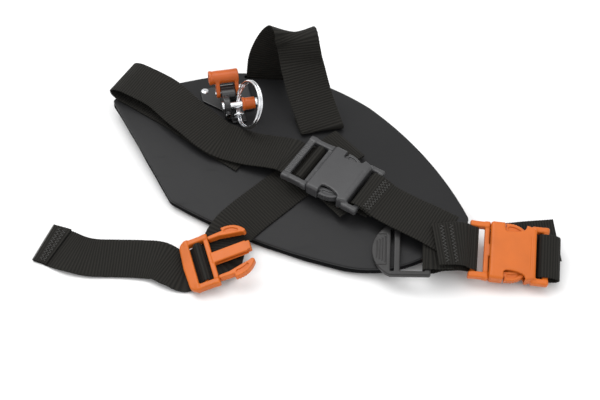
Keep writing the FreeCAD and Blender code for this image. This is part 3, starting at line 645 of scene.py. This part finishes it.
class Strap:
    """A strap of webbing through rows of (centre, width direction)."""

    def __init__(self, rows):
        points, wides = [], []
        for k in range(len(rows) - 1):
            (p1, w1), (p2, w2) = rows[k], rows[k + 1]
            p0 = rows[k - 1][0] if k else p1 * 2 - p2
            p3 = rows[k + 2][0] if k + 2 < len(rows) else p2 * 2 - p1
            span = (p2 - p1).length
            m1 = (p2 - p0) * (span / max((p2 - p1).length + (p1 - p0).length, 1e-6))
            m2 = (p3 - p1) * (span / max((p3 - p2).length + (p2 - p1).length, 1e-6))
            for j in range(24):
                s = j / 24
                points.append(p1 * (2 * s ** 3 - 3 * s ** 2 + 1) + m1 * (s ** 3 - 2 * s ** 2 + s)
                              + p2 * (3 * s ** 2 - 2 * s ** 3) + m2 * (s ** 3 - s ** 2))
                wides.append(w1 * (1 - s) + w2 * s)
        points.append(rows[-1][0])
        wides.append(rows[-1][1])
        points, wides = np.array(points), np.array(wides)
        run = np.concatenate([[0], np.cumsum(np.linalg.norm(np.diff(points, axis=0), axis=1))])
        self.length = run[-1]
        self.at = np.arange(0, self.length, STATION)
        self.centre = np.stack([np.interp(self.at, run, points[:, d]) for d in range(3)], 1)
        wide = np.stack([np.interp(self.at, run, wides[:, d]) for d in range(3)], 1)
        ahead = np.gradient(self.centre, axis=0)
        ahead /= np.linalg.norm(ahead, axis=1)[:, None]
        wide -= ahead * (wide * ahead).sum(1)[:, None]
        self.wide = wide / np.linalg.norm(wide, axis=1)[:, None]
        self.up = np.cross(ahead, self.wide)

    def point(self, run, across, lift):
        """A point at a length, a distance off the middle line and a height off the middle layer."""
        centre, wide, up = (np.array([np.interp(run, self.at, rows[:, d]) for d in range(3)])
                            for rows in (self.centre, self.wide, self.up))
        return centre + across * wide + lift * up

    def strip(self, start, end, lift):
        """A shorter strap that lies on this one, its middle layer lift above."""
        part, keep = copy.copy(self), (self.at >= start) & (self.at <= end)
        part.centre = (self.centre + self.up * lift)[keep]
        part.wide, part.up, part.at = self.wide[keep], self.up[keep], self.at[keep]
        return part

    def near(self, target):
        """The length at which the strap passes nearest to a point."""
        return self.at[np.linalg.norm(self.centre - np.array(target), axis=1).argmin()]

    def mesh(self, phase=0.0):
        """Points, quads and flat coordinates of the ribbed webbing."""
        half, thick = WEB_WIDTH / 2, WEB_THICK / 2
        columns = 13
        across = np.linspace(-half + 0.8, half - 0.8, columns)
        section = [(a, 1.0) for a in across] + [(half - 0.3, 0.72), (half, 0.0), (half - 0.3, -0.72)] \
            + [(a, -1.0) for a in across[::-1]] + [(-half + 0.3, -0.72), (-half, 0.0), (-half + 0.3, 0.72)]
        rib = RIB_DEPTH * (0.5 + 0.5 * np.sin(2 * math.pi * self.at / RIB_PITCH))
        drift = 0.22 * np.sin(self.at / 17.0 + phase) + 0.12 * np.sin(self.at / 6.3 + 2 * phase)
        points, flat = [], []
        for a, side in section:
            selvedge = 0.12 * np.sin(2 * math.pi * self.at / RIB_PITCH) if abs(a) > half - 0.5 else 0.0
            offset = a + drift + selvedge * np.sign(a)
            height = side * (thick - rib)
            points.append(self.centre + self.wide * np.broadcast_to(offset, self.at.shape)[:, None]
                          + self.up * np.broadcast_to(height, self.at.shape)[:, None])
            aside = np.full(self.at.shape, a + (WEB_WIDTH if side < 0 else 0))
            flat.append(np.column_stack([aside, self.at]))
        size, count = len(section), len(self.at)
        points = np.stack(points, 1).reshape(-1, 3)
        flat = np.stack(flat, 1).reshape(-1, 2)
        faces = rings_to_faces(count, size)
        last = (count - 1) * size
        faces += [list(range(size))[::-1], list(range(last, last + size))]
        return points, faces, flat


WRAP = 2.0 + WEB_GAP + WEB_THICK / 2
BAR_BACK, UNDER = 10.5, -3.7
THREADED = [(-36, 0, UNDER - 0.4), (-27, 0, UNDER), (-19, 0, UNDER), (-15.2, 0, -2.2),
            (-BAR_BACK - WRAP, 0, 0.2), (-BAR_BACK - WRAP * 0.7, 0, WRAP * 0.72), (-BAR_BACK, 0, WRAP),
            (-BAR_BACK + WRAP * 0.7, 0, WRAP * 0.72), (-BAR_BACK + WRAP, 0, 0.2),
            (-BAR_BACK + WRAP + 0.7, 0, -2.2), (-3.0, 0, UNDER - 0.1), (1.5, 0, UNDER - 0.9)]
TAIL = [(-4.6, 0, -5.9), (-0.8, 0, -7.7), (8, -1, -7.9), (20, -4, -8.2), (34, -8, -8.4), (46, -12, -8.6)]


def upper_rows():
    """Over the plate, folded back at the far left, and through the black adjuster."""
    return lying((-46, 24, 52), (-76, 46, 52), (-114, 77, 53), (-148, 101, 56)) \
        + free((-160, 109.0, 21.2, 58), (-166, 113.5, 23.8, 59), (-167.6, 114.8, 27.6, 60),
               (-165, 113.3, 31.0, 60), (-157, 109, 33.2, 59), (-130, 93, 31.6, 54),
               (-103, 66, 29.4, 51), (-75, 42, 25.8, 53), (-57, 34.8, 23.5, 55), (-40, 28.4, 24.8, 57)) \
        + local_rows(BLACK, THREADED[:-2] + TAIL)


def loop_rows():
    """Out of the pocket, up through the slot, over in a standing loop and down onto the plate."""
    pocket = ((102, 0.0), (112, 0.0), (122, 0.0), (126.5, 0.1), (128.4, -1.4), (128.9, -5.0))
    return [below_shell(-31, y, drop) for y, drop in pocket] \
        + free((-30.6, 129.4, 21, 0, -2), (-28, 131, 38, -3), (-21, 131, 57, -7), (-12, 127.5, 73, -10),
               (-6.5, 121.5, 80.0, -12), (-3, 114.5, 78.5, -12), (-0.5, 109, 69, -11),
               (2.0, 103, 57, -6), (7, 90, 43.5, 0), (12.5, 75, 33.6, 6), (17, 63, 27.4, 9),
               (19.6, 56.5, 24.4, 11), (20.6, 53.9, 22.0, 11), (19.6, 56.2, 20.0, 11, -1)) \
        + lying((17.6, 62.5, 11), (15.4, 70, 10), (13.4, 77, 9))


def lower_rows():
    """Folded back on the plate, across it, through the free adjuster and out to the hemmed tail."""
    return lying((35, 28.5, 130, 2.1), (40, 32.7, 130, 2.1), (43.6, 35.7, 130, 2.3),
                 (45.2, 37.0, 130, 3.2), (43.6, 35.7, 130, 4.1), (38, 31, 130, 4.0),
                 (30, 24, 130, 2.6), (20, 16, 130, 0.6), (5, 3.5, 130), (-15, -12.5, 130),
                 (-38, -32, 130), (-56, -48, 128)) \
        + free((-64, -60, 9.6, 122)) + [(FREE @ Vector((6, 3, -5.8)), row_at(0, 0, 0, 112)[1])] \
        + local_rows(FREE, THREADED[:0:-1]) \
        + free((-110, -86, 3.2, 100), (-122, -80, 4.2, 97), (-138, -77, 2.8, 94), (-160, -76, 1.8, 92),
               (-182, -75, 2.4, 90), (-198, -71, 3.4, 94), (-214, -63, 2.0, 103), (-224, -59, 1.4, 103))


BAR_LIFT = 2.5 + WEB_GAP + WEB_THICK / 2
LOCK_END, LOOP_LIFT = 22.5, BAR_LIFT + 0.2
PLUG_BAR, PLUG_WRAP = -13.0, WRAP + 0.1
SLOT_MID, SOCKET_BAR = 43.0, 48.5


def short_rows():
    """A sewn loop between the ladder-lock's end bar and the right plug's bar."""
    beside = LOCK_END - LOOP_LIFT
    return free((114.5, -82, 31.6, 84, 5), (124, -81, 31.2, 84, 7), (133, -79.8, 29.6, 84, 9),
                (141, -78.6, 26.2, 84, 12)) \
        + local_rows(RIGHT, [(PLUG_BAR - 2.6, 0, 4.6), (PLUG_BAR + 0.6, 0, PLUG_WRAP + 0.2),
                             (PLUG_BAR + PLUG_WRAP * 0.75, 0, PLUG_WRAP * 0.7), (PLUG_BAR + PLUG_WRAP, 0, 0),
                             (PLUG_BAR + PLUG_WRAP * 0.75, 0, -PLUG_WRAP * 0.7),
                             (PLUG_BAR + 0.3, 0, -PLUG_WRAP), (PLUG_BAR - 3.5, 0, -2.6)]) \
        + free((138, -77.8, 18.0, 84, 12), (130, -79.6, 20.4, 84, 9), (121, -81.2, 20.8, 84, 7)) \
        + local_rows(LOCK, [(LOCK_END + 3, 0, -LOOP_LIFT), (LOCK_END - 1.8, 0, -LOOP_LIFT),
                            (LOCK_END - 3.3, 0, -3.3), (beside, 0, -1.8), (beside, 0, 1.8),
                            (LOCK_END - 3.3, 0, 3.3), (LOCK_END - 1.8, 0, LOOP_LIFT),
                            (LOCK_END + 3, 0, LOOP_LIFT)]) \
        + free((119, -81.4, 24.3, 84, 5), (127, -80.2, 23.4, 84, 6))


def belt_rows():
    """From a sewn loop round the black socket's bar to the short loop's joint."""
    return local_rows(BLACK, [(SLOT_MID + 16, 0, -6.6), (SLOT_MID + 6, 0, -6.2), (SLOT_MID + 0.6, 0, -3.6),
                              (SLOT_MID, 0, 0), (SLOT_MID + 1.0, 0, BAR_LIFT * 0.8),
                              (SOCKET_BAR, 0, BAR_LIFT + 0.2), (SOCKET_BAR + 6, 0, BAR_LIFT - 0.4)]) \
        + free((74, -37, 31.2, 57), (88, -45.5, 30.2, 57), (104, -55.5, 30.0, 57, 1),
               (114, -61.5, 29.6, 59, 2), (122, -66.4, 28.8, 61, 4), (127, -69.4, 28.3, 63, 5))


UNDER_SOCKET = -6.5 - WEB_GAP - WEB_THICK / 2 - 0.1
LOOP_OUT = 61.0


def socket_loop_rows():
    """Round the right socket's far bar and folded back under the socket."""
    return local_rows(RIGHT, [
        (SLOT_MID + 1.6, 0, -4.7), (SLOT_MID + 0.3, 0, -2.6), (SLOT_MID, 0, 0),
        (SLOT_MID + 1.0, 0, BAR_LIFT * 0.8),
        (SOCKET_BAR, 0, BAR_LIFT + 0.2), (SOCKET_BAR + 6, 0, BAR_LIFT - 0.2), (LOOP_OUT - 1.8, 0, 1.2),
        (LOOP_OUT, 0, -2.0), (LOOP_OUT - 1.8, 0, -5.2), (SOCKET_BAR + 5, 0, -7.2),
        (SLOT_MID + 1, 0, UNDER_SOCKET - 0.1), (30, 0, UNDER_SOCKET - 0.1), (18, 0, UNDER_SOCKET - 0.1)])


def stub_rows():
    """The cut stub sewn below the loop, a little askew, so that its far edge shows."""
    turn, depth = math.radians(12.5), UNDER_SOCKET - WEB_THICK - WEB_GAP - 0.3
    wide = (RIGHT.to_3x3() @ Vector((-math.sin(turn), math.cos(turn), 0))).normalized()
    return [(RIGHT @ Vector((17.5 + run * math.cos(turn), 12.6 + run * math.sin(turn), depth)), wide)
            for run in (0.0, 15.0, 30.0, 44.0)]


STITCH_ROW, THREAD_RADIUS = 4.0, 0.26


def zigzag(strap, start, length, side=1, pitch=3.2):
    """A band of zigzag stitching across the strap, length long, on its top (+1) or back (-1)."""
    lift = side * (WEB_THICK / 2 + 0.02)
    threads = []
    for rank in range(max(1, int(round(length / STITCH_ROW)))):
        low = start + rank * STITCH_ROW
        stops = np.arange(-WEB_WIDTH / 2 + 2.2, WEB_WIDTH / 2 - 1.8, pitch / 2)
        corners = [(low + (3.2 if i % 2 else 0.0), a) for i, a in enumerate(stops)]
        path = []
        for (s0, a0), (s1, a1) in zip(corners, corners[1:]):
            for k in range(4):
                share = k / 4
                dip = 0.16 * math.cos(2 * math.pi * share)
                path.append(strap.point(s0 + (s1 - s0) * share, a0 + (a1 - a0) * share,
                                        lift + side * (0.12 - dip)))
        threads.append(tube(path, THREAD_RADIUS, 6))
    return threads


def build_webbing():
    """The seven straps, the tail's folded hem, the belt's doubled end and the stitching."""
    straps = {"upper_strap": Strap(upper_rows()), "loop_strap": Strap(loop_rows()),
              "lower_strap": Strap(lower_rows()), "short_strap": Strap(short_rows()),
              "belt_strap": Strap(belt_rows()), "side_strap": Strap(stub_rows()),
              "socket_loop": Strap(socket_loop_rows())}
    for order, (name, strap) in enumerate(straps.items()):
        points, faces, flat = strap.mesh(phase=1.7 * order)
        piece(name + "_webbing", points, faces, WEB, nodes=(name,), uv=flat)
    belt, short, lower = straps["belt_strap"], straps["short_strap"], straps["lower_strap"]
    bar = belt.near(BLACK @ Vector((SOCKET_BAR, 0, BAR_LIFT)))
    doubled = WEB_THICK + 0.15
    hem = lower.strip(lower.length - 16.0, lower.length, -doubled)
    points, faces, flat = hem.mesh(phase=2.0)
    piece("lower_strap_hem", points, faces, WEB, uv=flat)
    roll = [lower.point(lower.length - 0.6, a, -doubled / 2) for a in np.linspace(-19.6, 19.6, 24)]
    points, faces = tube(roll, doubled / 2 + WEB_THICK / 2 - 0.1, 16)
    piece("lower_strap_fold", points, faces, THREAD_FINISH)
    tail = belt.strip(bar + 3.0, bar + 17.0, -doubled)
    points, faces, flat = tail.mesh(phase=3.0)
    piece("belt_strap_tail", points, faces, WEB, uv=flat)
    threads = {"belt_strap": zigzag(belt, bar + 5.5, 9.0),
               "short_strap": zigzag(short, 6.0, 4.0) + zigzag(short, 14.0, 4.0),
               "lower_strap": zigzag(hem, lower.length - 13.0, 8.0, side=-1)}
    for name, parts in threads.items():
        points, faces = merge(parts)
        piece(name + "_stitching", points, faces, THREAD_FINISH)


# ---- side-release buckles
HALF, OPENING = 26.5, 21.0
LIP_OUTLINE = outline([(-17.4, -5), (-17.4, HALF), (-19.0, HALF), ((-24.2, HALF - 2.3), (-26.2, HALF - 8)),
                       (-27.2, 0), (-27.2, -5), (-17.4, -5)])


def plug_frame(sewn, ribbed=False):
    """The plug's rigid half: rails, crossbar, webbing bar, grip lip and grooved guide tongue."""
    length, back = (17.0, 13.0) if sewn else (25.0, 10.5)

    def field(p):
        x, y, z = p[..., 0], np.abs(p[..., 1]), p[..., 2]
        folded = points_at(x, y, z)
        waist = 0.5 * np.sin(np.clip((x + length) / length, 0, 1) * math.pi)
        rail_end = -length if sewn or ribbed else -length + 4.0
        rails = ball_box(points_at(x, y + waist, z), (rail_end, OPENING + 0.2, -3.5), (0, HALF, 3.5), 1.3)
        body = join(rails, ball_box(folded, (-4.2, -1, -2.4), (0.1, HALF, 2.4), 0.9), 1.6)
        body = join(body, rod(p, (-back, -OPENING - 1, 0), (-back, OPENING + 1, 0), 2.0), 1.0)
        if sewn:
            end = 1.6 - length
            body = join(body, rod(p, (end, 3 - HALF, 0), (end, HALF - 3, 0), 0.2, 0.1), 0.2)
        else:
            tilted = points_at(x, y, z - 0.16 * (x + 21.5))
            if ribbed:
                lip = ball_box(tilted, (-25.2, -1, -1.2), (-18.4, HALF, 3.4), 1.2)
                lip = lip - 0.3 * np.sin(2 * math.pi * y / 1.9) * (y < 20.9) * (z > 1.0)
            else:
                lip = prism(tilted, LIP_OUTLINE, -1.4, 3.6, 1.5)
            body = join(body, lip, 1.6)
        guide = ball_box(p, (-1, -5.5, -3.0), (34.0, 5.5, 3.0), 0.9)
        guide = carve(guide, ball_box(p, (3.0, -9.0, -1.3), (31.5, -3.4, 1.1), 0.4), 0.4)
        guide = carve(guide, ball_box(p, (3.0, -3.1, -6.0), (31.5, 3.1, -0.6), 0.5), 0.4)
        tip = ball_box(points_at(x, y + x * 0.03, z), (30.5, 5.2, -6), (40, 12, 6), 0.5)
        return join(body, carve(guide, tip, 0.6), 1.2)
    return field, (-length - 2.6, -HALF, -3.8), (34.5, HALF, 5.0)


def prong_steps():
    """Outline of the far prong: root, outer barb, rounded tip and the sprung inner side."""
    middle, inside, outside = 21.0, 19.2, 22.8
    return [(1.95, inside), ((0.15, middle), (1.95, outside)), (14, outside + 0.6), (13.5, HALF),
            ((23, HALF - 0.8), (33, middle - 3.2)), ((33.5, middle - 5.5), (30, middle - 6.0)),
            ((20, inside - 2.2), (10, inside)), (1.95, inside)]


def prong(side):
    """A springy prong: its barb has a thumb pad outside and a lightening pocket in its face."""
    corners = outline(prong_steps()) * (1, side)
    pocket = outline([(16.5, 20.6), ((20, 20.4), (25.5, 18.4)), ((27.4, 18.2), (27.0, 20.0)),
                      ((23, 22.6), (17.5, 23.6)), ((15.6, 22.4), (16.5, 20.6))]) * (1, side)

    def field(p):
        body = prism(p, corners, -3.2, 3.2, 0.9)
        body = carve(body, prism(p, pocket, 2.1, 6.0, 0.3), 0.4)
        body = carve(body, prism(p, pocket, -6.0, -2.1, 0.3), 0.4)
        for k in range(4):
            x, y = 16.0 + 2.6 * k, side * (HALF + 0.25 - 0.14 * k * k)
            body = carve(body, rod(p, (x, y, -4), (x, y, 4), 0.55, 0.1), 0.3)
        return body
    low, high = corners.min(0), corners.max(0)
    return field, (low[0], low[1], -3.3), (high[0], high[1], 3.3)


def socket():
    """The socket: crowned hollow body with thumb windows, shoulders, rails and the far bar."""
    def field(p):
        x, y, z = p[..., 0], np.abs(p[..., 1]), p[..., 2]
        folded = points_at(x, y, z)
        crown = 1 + 0.05 * (1 - (y / HALF) ** 2)
        body = ball_box(points_at(x, y, z / crown), (0.4, -HALF, -6.5), (40.0, HALF, 6.5), 2.6)
        narrowed = points_at(x, y + np.clip((x - 30) * 0.35, 0, 3), z)
        body = carve(body, ball_box(narrowed, (31, HALF - 0.4, -9), (46, HALF + 9, 9), 1.0), 2.0)
        body = join(body, ball_box(folded, (36, OPENING + 0.3, -3.5), (51, HALF, 3.5), 1.6), 2.2)
        body = join(body, ball_box(folded, (46.0, -1, -2.5), (51, HALF, 2.5), 1.5), 1.4)
        window = outline([(12.6, HALF + 4), (12.6, 20.5), ((13.6, 18.3), (16, 17.9)),
                          ((22, 18.1), (27, 19.6)), ((30.2, 21.4), (31.2, 24.5)), (31.8, HALF + 4),
                          (12.6, HALF + 4)])
        body = carve(body, prism(folded, window, -9, 9, 0.6), 0.9)
        body = carve(body, ball_box(folded, (-3, -1, -3.8), (37.0, 23.7, 3.8), 0.8), 0.4)
        for k in range(3):
            line = 35.6 + 1.5 * k
            body = carve(body, rod(folded, (line, -1, 6.9), (line, 15 - k, 6.9), 0.45, 0.1), 0.25)
        return body
    return field, (0.0, -HALF, -7.2), (51.2, HALF, 7.2)


def build_buckles():
    """Three plugs with two prongs each, and the two sockets."""
    for prefix, place, sewn, finish, slot in (("black_plug", BLACK, False, BLACK_PLASTIC, "black_plastic"),
                                              ("right_plug", RIGHT, True, ORANGE, "orange_plastic"),
                                              ("free_plug", FREE, False, ORANGE, "orange_plastic")):
        field, low, high = plug_frame(sewn, ribbed=prefix == "black_plug")
        moulding(prefix + "_frame_body", field, low, high, finish, place, nodes=(prefix + "_frame",))
        for name, side in (("far", 1), ("near", -1)):
            field, low, high = prong(side)
            moulding("%s_%s_arm" % (prefix, name), field, low, high, finish, place,
                     body="%s_%s" % (prefix, name), nodes=("%s_prong_%s" % (prefix, name),), step=0.36)
    for name, place, finish, slot in (("black_socket", BLACK, BLACK_PLASTIC, "black_plastic"),
                                      ("right_socket", RIGHT, ORANGE, "orange_plastic")):
        field, low, high = socket()
        moulding(name + "_body", field, low, high, finish, place, nodes=(name,))


# ---- ladder-lock
def build_lock():
    """A flat frame: curved lever end with grip ribs, a slot, a middle bar and an end bar."""
    corners = outline([(25, 23), ((24.4, 24.4), (23, 25)), (-10, 25), ((-25, 0), (-10, -25)), (23, -25),
                       ((24.4, -24.4), (25, -23)), (25, 23)], 20)

    def field(p):
        x, y, z = p[..., 0], np.abs(p[..., 1]), p[..., 2]
        folded = points_at(x, y, z)
        body = prism(p, corners, -2.5, 2.5, 1.2)
        body = carve(body, ball_box(folded, (-1, -1, -6), (20, OPENING, 6), 0.8), 0.7)
        body = carve(body, ball_box(folded, (-9.2, -1, -6), (-6.0, OPENING, 6), 0.8), 0.6)
        body = carve(body, ball_box(folded, (-30, -1, 1.7), (-12.5, 15.0, 6), 0.6), 0.6)
        for k in range(4):
            at = -14.0 - 2.4 * k
            body = join(body, rod(folded, (at, -1, 1.6), (at, 12.5 - 1.4 * k, 1.6), 0.6, 0.3), 0.4)
        return body
    moulding("ladder_lock_frame", field, (-25, -25, -2.6), (25, 25, 2.7), LOCK_PLASTIC, LOCK,
             nodes=("ladder_lock",))


# ---- quick-release fitting
HANDLE_Y, HANDLE_Z, HANDLE_TUBE, HANDLE_BORE = 8.4, 27.3, 6.2, 4.0
BRACKET_HALF, PIN_BORE, SHAFT_BORE = 6.5, 2.06, 3.06
RING_CENTRE, RING_RADIUS, RING_WIRE = Vector((-46.5, 65.5, 44.2)), 21.0, 1.25
EYE_RADIUS, EYE_WIRE = 4.2, 1.4


def link(p, start, end, radius_a, radius_b, low, high, r):
    """A flat link in the YZ plane between two round ends, from low to high along X."""
    a, b = np.asarray(start, float), np.asarray(end, float)
    flat = p[..., 1:] - a
    way = b - a
    t = np.clip((flat @ way) / (way @ way), 0, 1)
    side = np.linalg.norm(flat - t[..., None] * way, axis=-1) - (radius_a + (radius_b - radius_a) * t) + r
    deep = np.abs(p[..., 0] - (low + high) / 2) - ((high - low) / 2 - r)
    return rounded(np.stack([side, deep], -1), r)


def handle_field(p):
    """The hollow grip with its collar, on two legs bored for the pin."""
    body = rod(p, (-16, HANDLE_Y, HANDLE_Z), (11, HANDLE_Y, HANDLE_Z), HANDLE_TUBE, 0.9)
    for low in (-10.6, 7.0):
        body = join(body, link(p, (0, PIN_Z), (HANDLE_Y, HANDLE_Z), 4.4, 5.4, low, low + 3.6, 0.8), 1.6)
    collar = rod(p, (-16, HANDLE_Y, HANDLE_Z), (-13.4, HANDLE_Y, HANDLE_Z), 6.6, 0.6)
    body = join(body, collar, 0.6)
    body = carve(body, rod(p, (-30, HANDLE_Y, HANDLE_Z), (30, HANDLE_Y, HANDLE_Z), HANDLE_BORE, 0.1), 0.9)
    return carve(body, rod(p, (-30, 0, PIN_Z), (30, 0, PIN_Z), PIN_BORE, 0.1), 0.4)


def bracket_field(p):
    """The bored tower for the handle's pin and the grooved ear for the roller's shaft."""
    tower = outline([(-8, 2.1), (9, 2.1), (7.5, 13), ((6, 19), (0, 20)), ((-6, 19), (-8, 16)), (-8, 2.1)])
    ear = outline([(-23, 2.1), (-7, 2.1), (-7, 17), ((-9, 20), (-12, 21.5)), ((-19, 22.6), (-22.5, 20)),
                   ((-23.6, 17), (-23.8, 12)), (-23, 2.1)])
    body = prism(p, tower, -BRACKET_HALF, BRACKET_HALF, 0.7, plane=(1, 2, 0))
    body = join(body, prism(p, ear, -BRACKET_HALF, -0.8, 0.7, plane=(1, 2, 0)), 0.8)
    for z in (6.5, 10.0):
        groove = ball_box(p, (-BRACKET_HALF - 2, -19, z), (-BRACKET_HALF + 0.8, -8.5, z + 1.8), 0.4)
        body = carve(body, groove, 0.4)
    body = carve(body, rod(p, (-30, 0, PIN_Z), (30, 0, PIN_Z), PIN_BORE, 0.1), 0.3)
    return carve(body, rod(p, (-30, SHAFT_Y, SHAFT_Z), (30, SHAFT_Y, SHAFT_Z), SHAFT_BORE, 0.1), 0.3)


def base_field(p):
    """The riveted sheet with its front tongue."""
    sheet = outline([(-3, -13), (0, -27), (13, -27), (13, -13), (20, -13), ((22.1, -12.1), (23, -10)),
                     (23, 19), ((22.1, 21.1), (20, 22)), (-20, 22), ((-22.1, 21.1), (-23, 19)),
                     (-23, 6), (-3, -13)])
    return prism(p, sheet, 0.0, 2.0, 0.45)


def ring_mesh():
    """The split ring: two turns of round wire side by side, crossing over beside the eye."""
    centre, up, side = RING_CENTRE + SHIFT, Vector((0.0, 0.788, 0.616)), Vector((0.53, -0.52, 0.67))
    normal = up.cross(side).normalized()
    path = []
    for k in range(361):
        turn = k / 360 * 4 * math.pi
        cross = min(max((turn - 2 * math.pi) / math.radians(50) + 0.5, 0.0), 1.0)
        off = 1.18 * (2 * (cross * cross * (3 - 2 * cross)) - 1)
        angle = turn + math.radians(-60)
        spoke = up * math.cos(angle) + side * math.sin(angle)
        path.append(tuple(centre + spoke * RING_RADIUS + normal * off))
    return tube(path, RING_WIRE, 14)


def eye_mesh():
    """The wire eye that holds the ring, bent up from the base's front tongue."""
    pin, way = Vector(RING["pos_m"]) / MM, Vector(RING["axis"]).normalized()
    side = way.orthogonal().normalized()
    up = way.cross(side)
    turns = [2 * math.pi * k / 60 for k in range(60)]
    path = [tuple(pin + (side * math.cos(a) + up * math.sin(a)) * EYE_RADIUS) for a in turns]
    return tube(path + path[:2], EYE_WIRE, 16)


def build_fitting():
    """The release handle, bracket, base with its eye, roller and ring."""
    moulding("release_handle_grip", handle_field, (-16.2, -5, 9), (11.2, 16, 34.5), HANDLE_ORANGE,
             FITTING, body="handle", nodes=("release_handle",), step=0.36)
    moulding("release_bracket_body", bracket_field, (-6.7, -24.2, 2), (6.7, 9.2, 22.8), BLACK_STEEL,
             FITTING, nodes=("release_bracket",), step=0.36)
    moulding("hook_base_sheet", base_field, (-23.2, -27.2, -0.1), (23.2, 22.2, 2.1), BLACK_STEEL,
             FITTING, nodes=("hook_base",), step=0.34)
    points, faces = eye_mesh()
    piece("ring_eye", points, faces, CHROME)
    sleeve = [(10.2, 3.1), (10.2, 5.8), (10.5, 6.1), (12.1, 6.1), (12.5, 5.8), (12.9, 5.4)]
    for k in range(6):
        sleeve += [(13.2 + 1.2 * k, 5.6), (13.9 + 1.2 * k, 5.6), (14.1 + 1.2 * k, 5.4)]
    sleeve += [(20.8, 5.6), (21.5, 5.55), (21.9, 5.1), (21.9, 3.1)]
    points, faces = lathe(sleeve)
    axle = FITTING @ Matrix.Translation((0, SHAFT_Y, SHAFT_Z))
    facing_out(piece("roller_sleeve", points, faces, HANDLE_ORANGE, "roller_body",
                     ("roller",), place=axle))
    points, faces = ring_mesh()
    piece("split_ring_wire", points, faces, CHROME, "ring_body", ("split_ring",))


def finish_kept_nodes():
    """Materials for the small CAD nodes that are shown as they are."""
    for name in ("base_rivets", "bracket_bolt", "handle_pin", "roller_shaft", "roller_cap"):
        mesh = frame["nodes"][name].data
        mesh.materials.clear()
        mesh.materials.append(CHROME)


# ---- floor, light and camera
def build_studio():
    """A white floor, an even white surround and three soft lamps."""
    size = 6.0
    mesh = bpy.data.meshes.new("floor")
    corners = [(-size, -size, 0), (size, -size, 0), (size, size, 0), (-size, size, 0)]
    mesh.from_pydata(corners, [], [[0, 1, 2, 3]])
    floor = show(bpy.data.objects.new("floor", mesh))
    pale = Material("pale_floor", (0.93, 0.93, 0.93), 0.9)
    pale.shade(pale.noise(3.0), 0.995, 1.005)
    mesh.materials.append(pale.data)
    world = bpy.data.worlds.new("studio")
    world.use_nodes = True
    surround = world.node_tree.nodes["Background"].inputs
    surround["Color"].default_value = (1, 1, 1, 1)
    surround["Strength"].default_value = 0.72
    bpy.context.scene.world = world
    for name, spot, width, power in (("key", (-0.9, 0.7, 1.7), 1.3, 17.0),
                                     ("fill", (1.2, -0.9, 1.5), 1.6, 9.0),
                                     ("top", (0.1, 0.3, 2.0), 1.2, 9.0)):
        data = bpy.data.lights.new(name, "AREA")
        data.energy, data.size = power, width
        lamp = show(bpy.data.objects.new(name, data))
        lamp.location = spot
        lamp.rotation_euler = (-Vector(spot)).to_track_quat("-Z", "Y").to_euler()
    bpy.context.scene.view_settings.view_transform = "Standard"


def build_camera():
    """The camera looks down at the plate from the front."""
    aim = (Vector((0.0, -22.0, 15.0)) + SHIFT) * MM
    distance, elevation = 1.1, math.radians(52.0)
    data = bpy.data.cameras.new("camera")
    data.lens, data.sensor_width = 74.6, 36.0
    data.clip_start, data.clip_end = 0.05, 50.0
    camera = show(bpy.data.objects.new("camera", data))
    back = Vector((0.0, -math.cos(elevation), math.sin(elevation)))
    camera.location = aim + back * distance
    camera.rotation_euler = (-back).to_track_quat("-Z", "Y").to_euler()
    bpy.context.scene.camera = camera


build_studio()
build_camera()
build_plate()
build_webbing()
build_buckles()
build_lock()
build_fitting()
finish_kept_nodes()
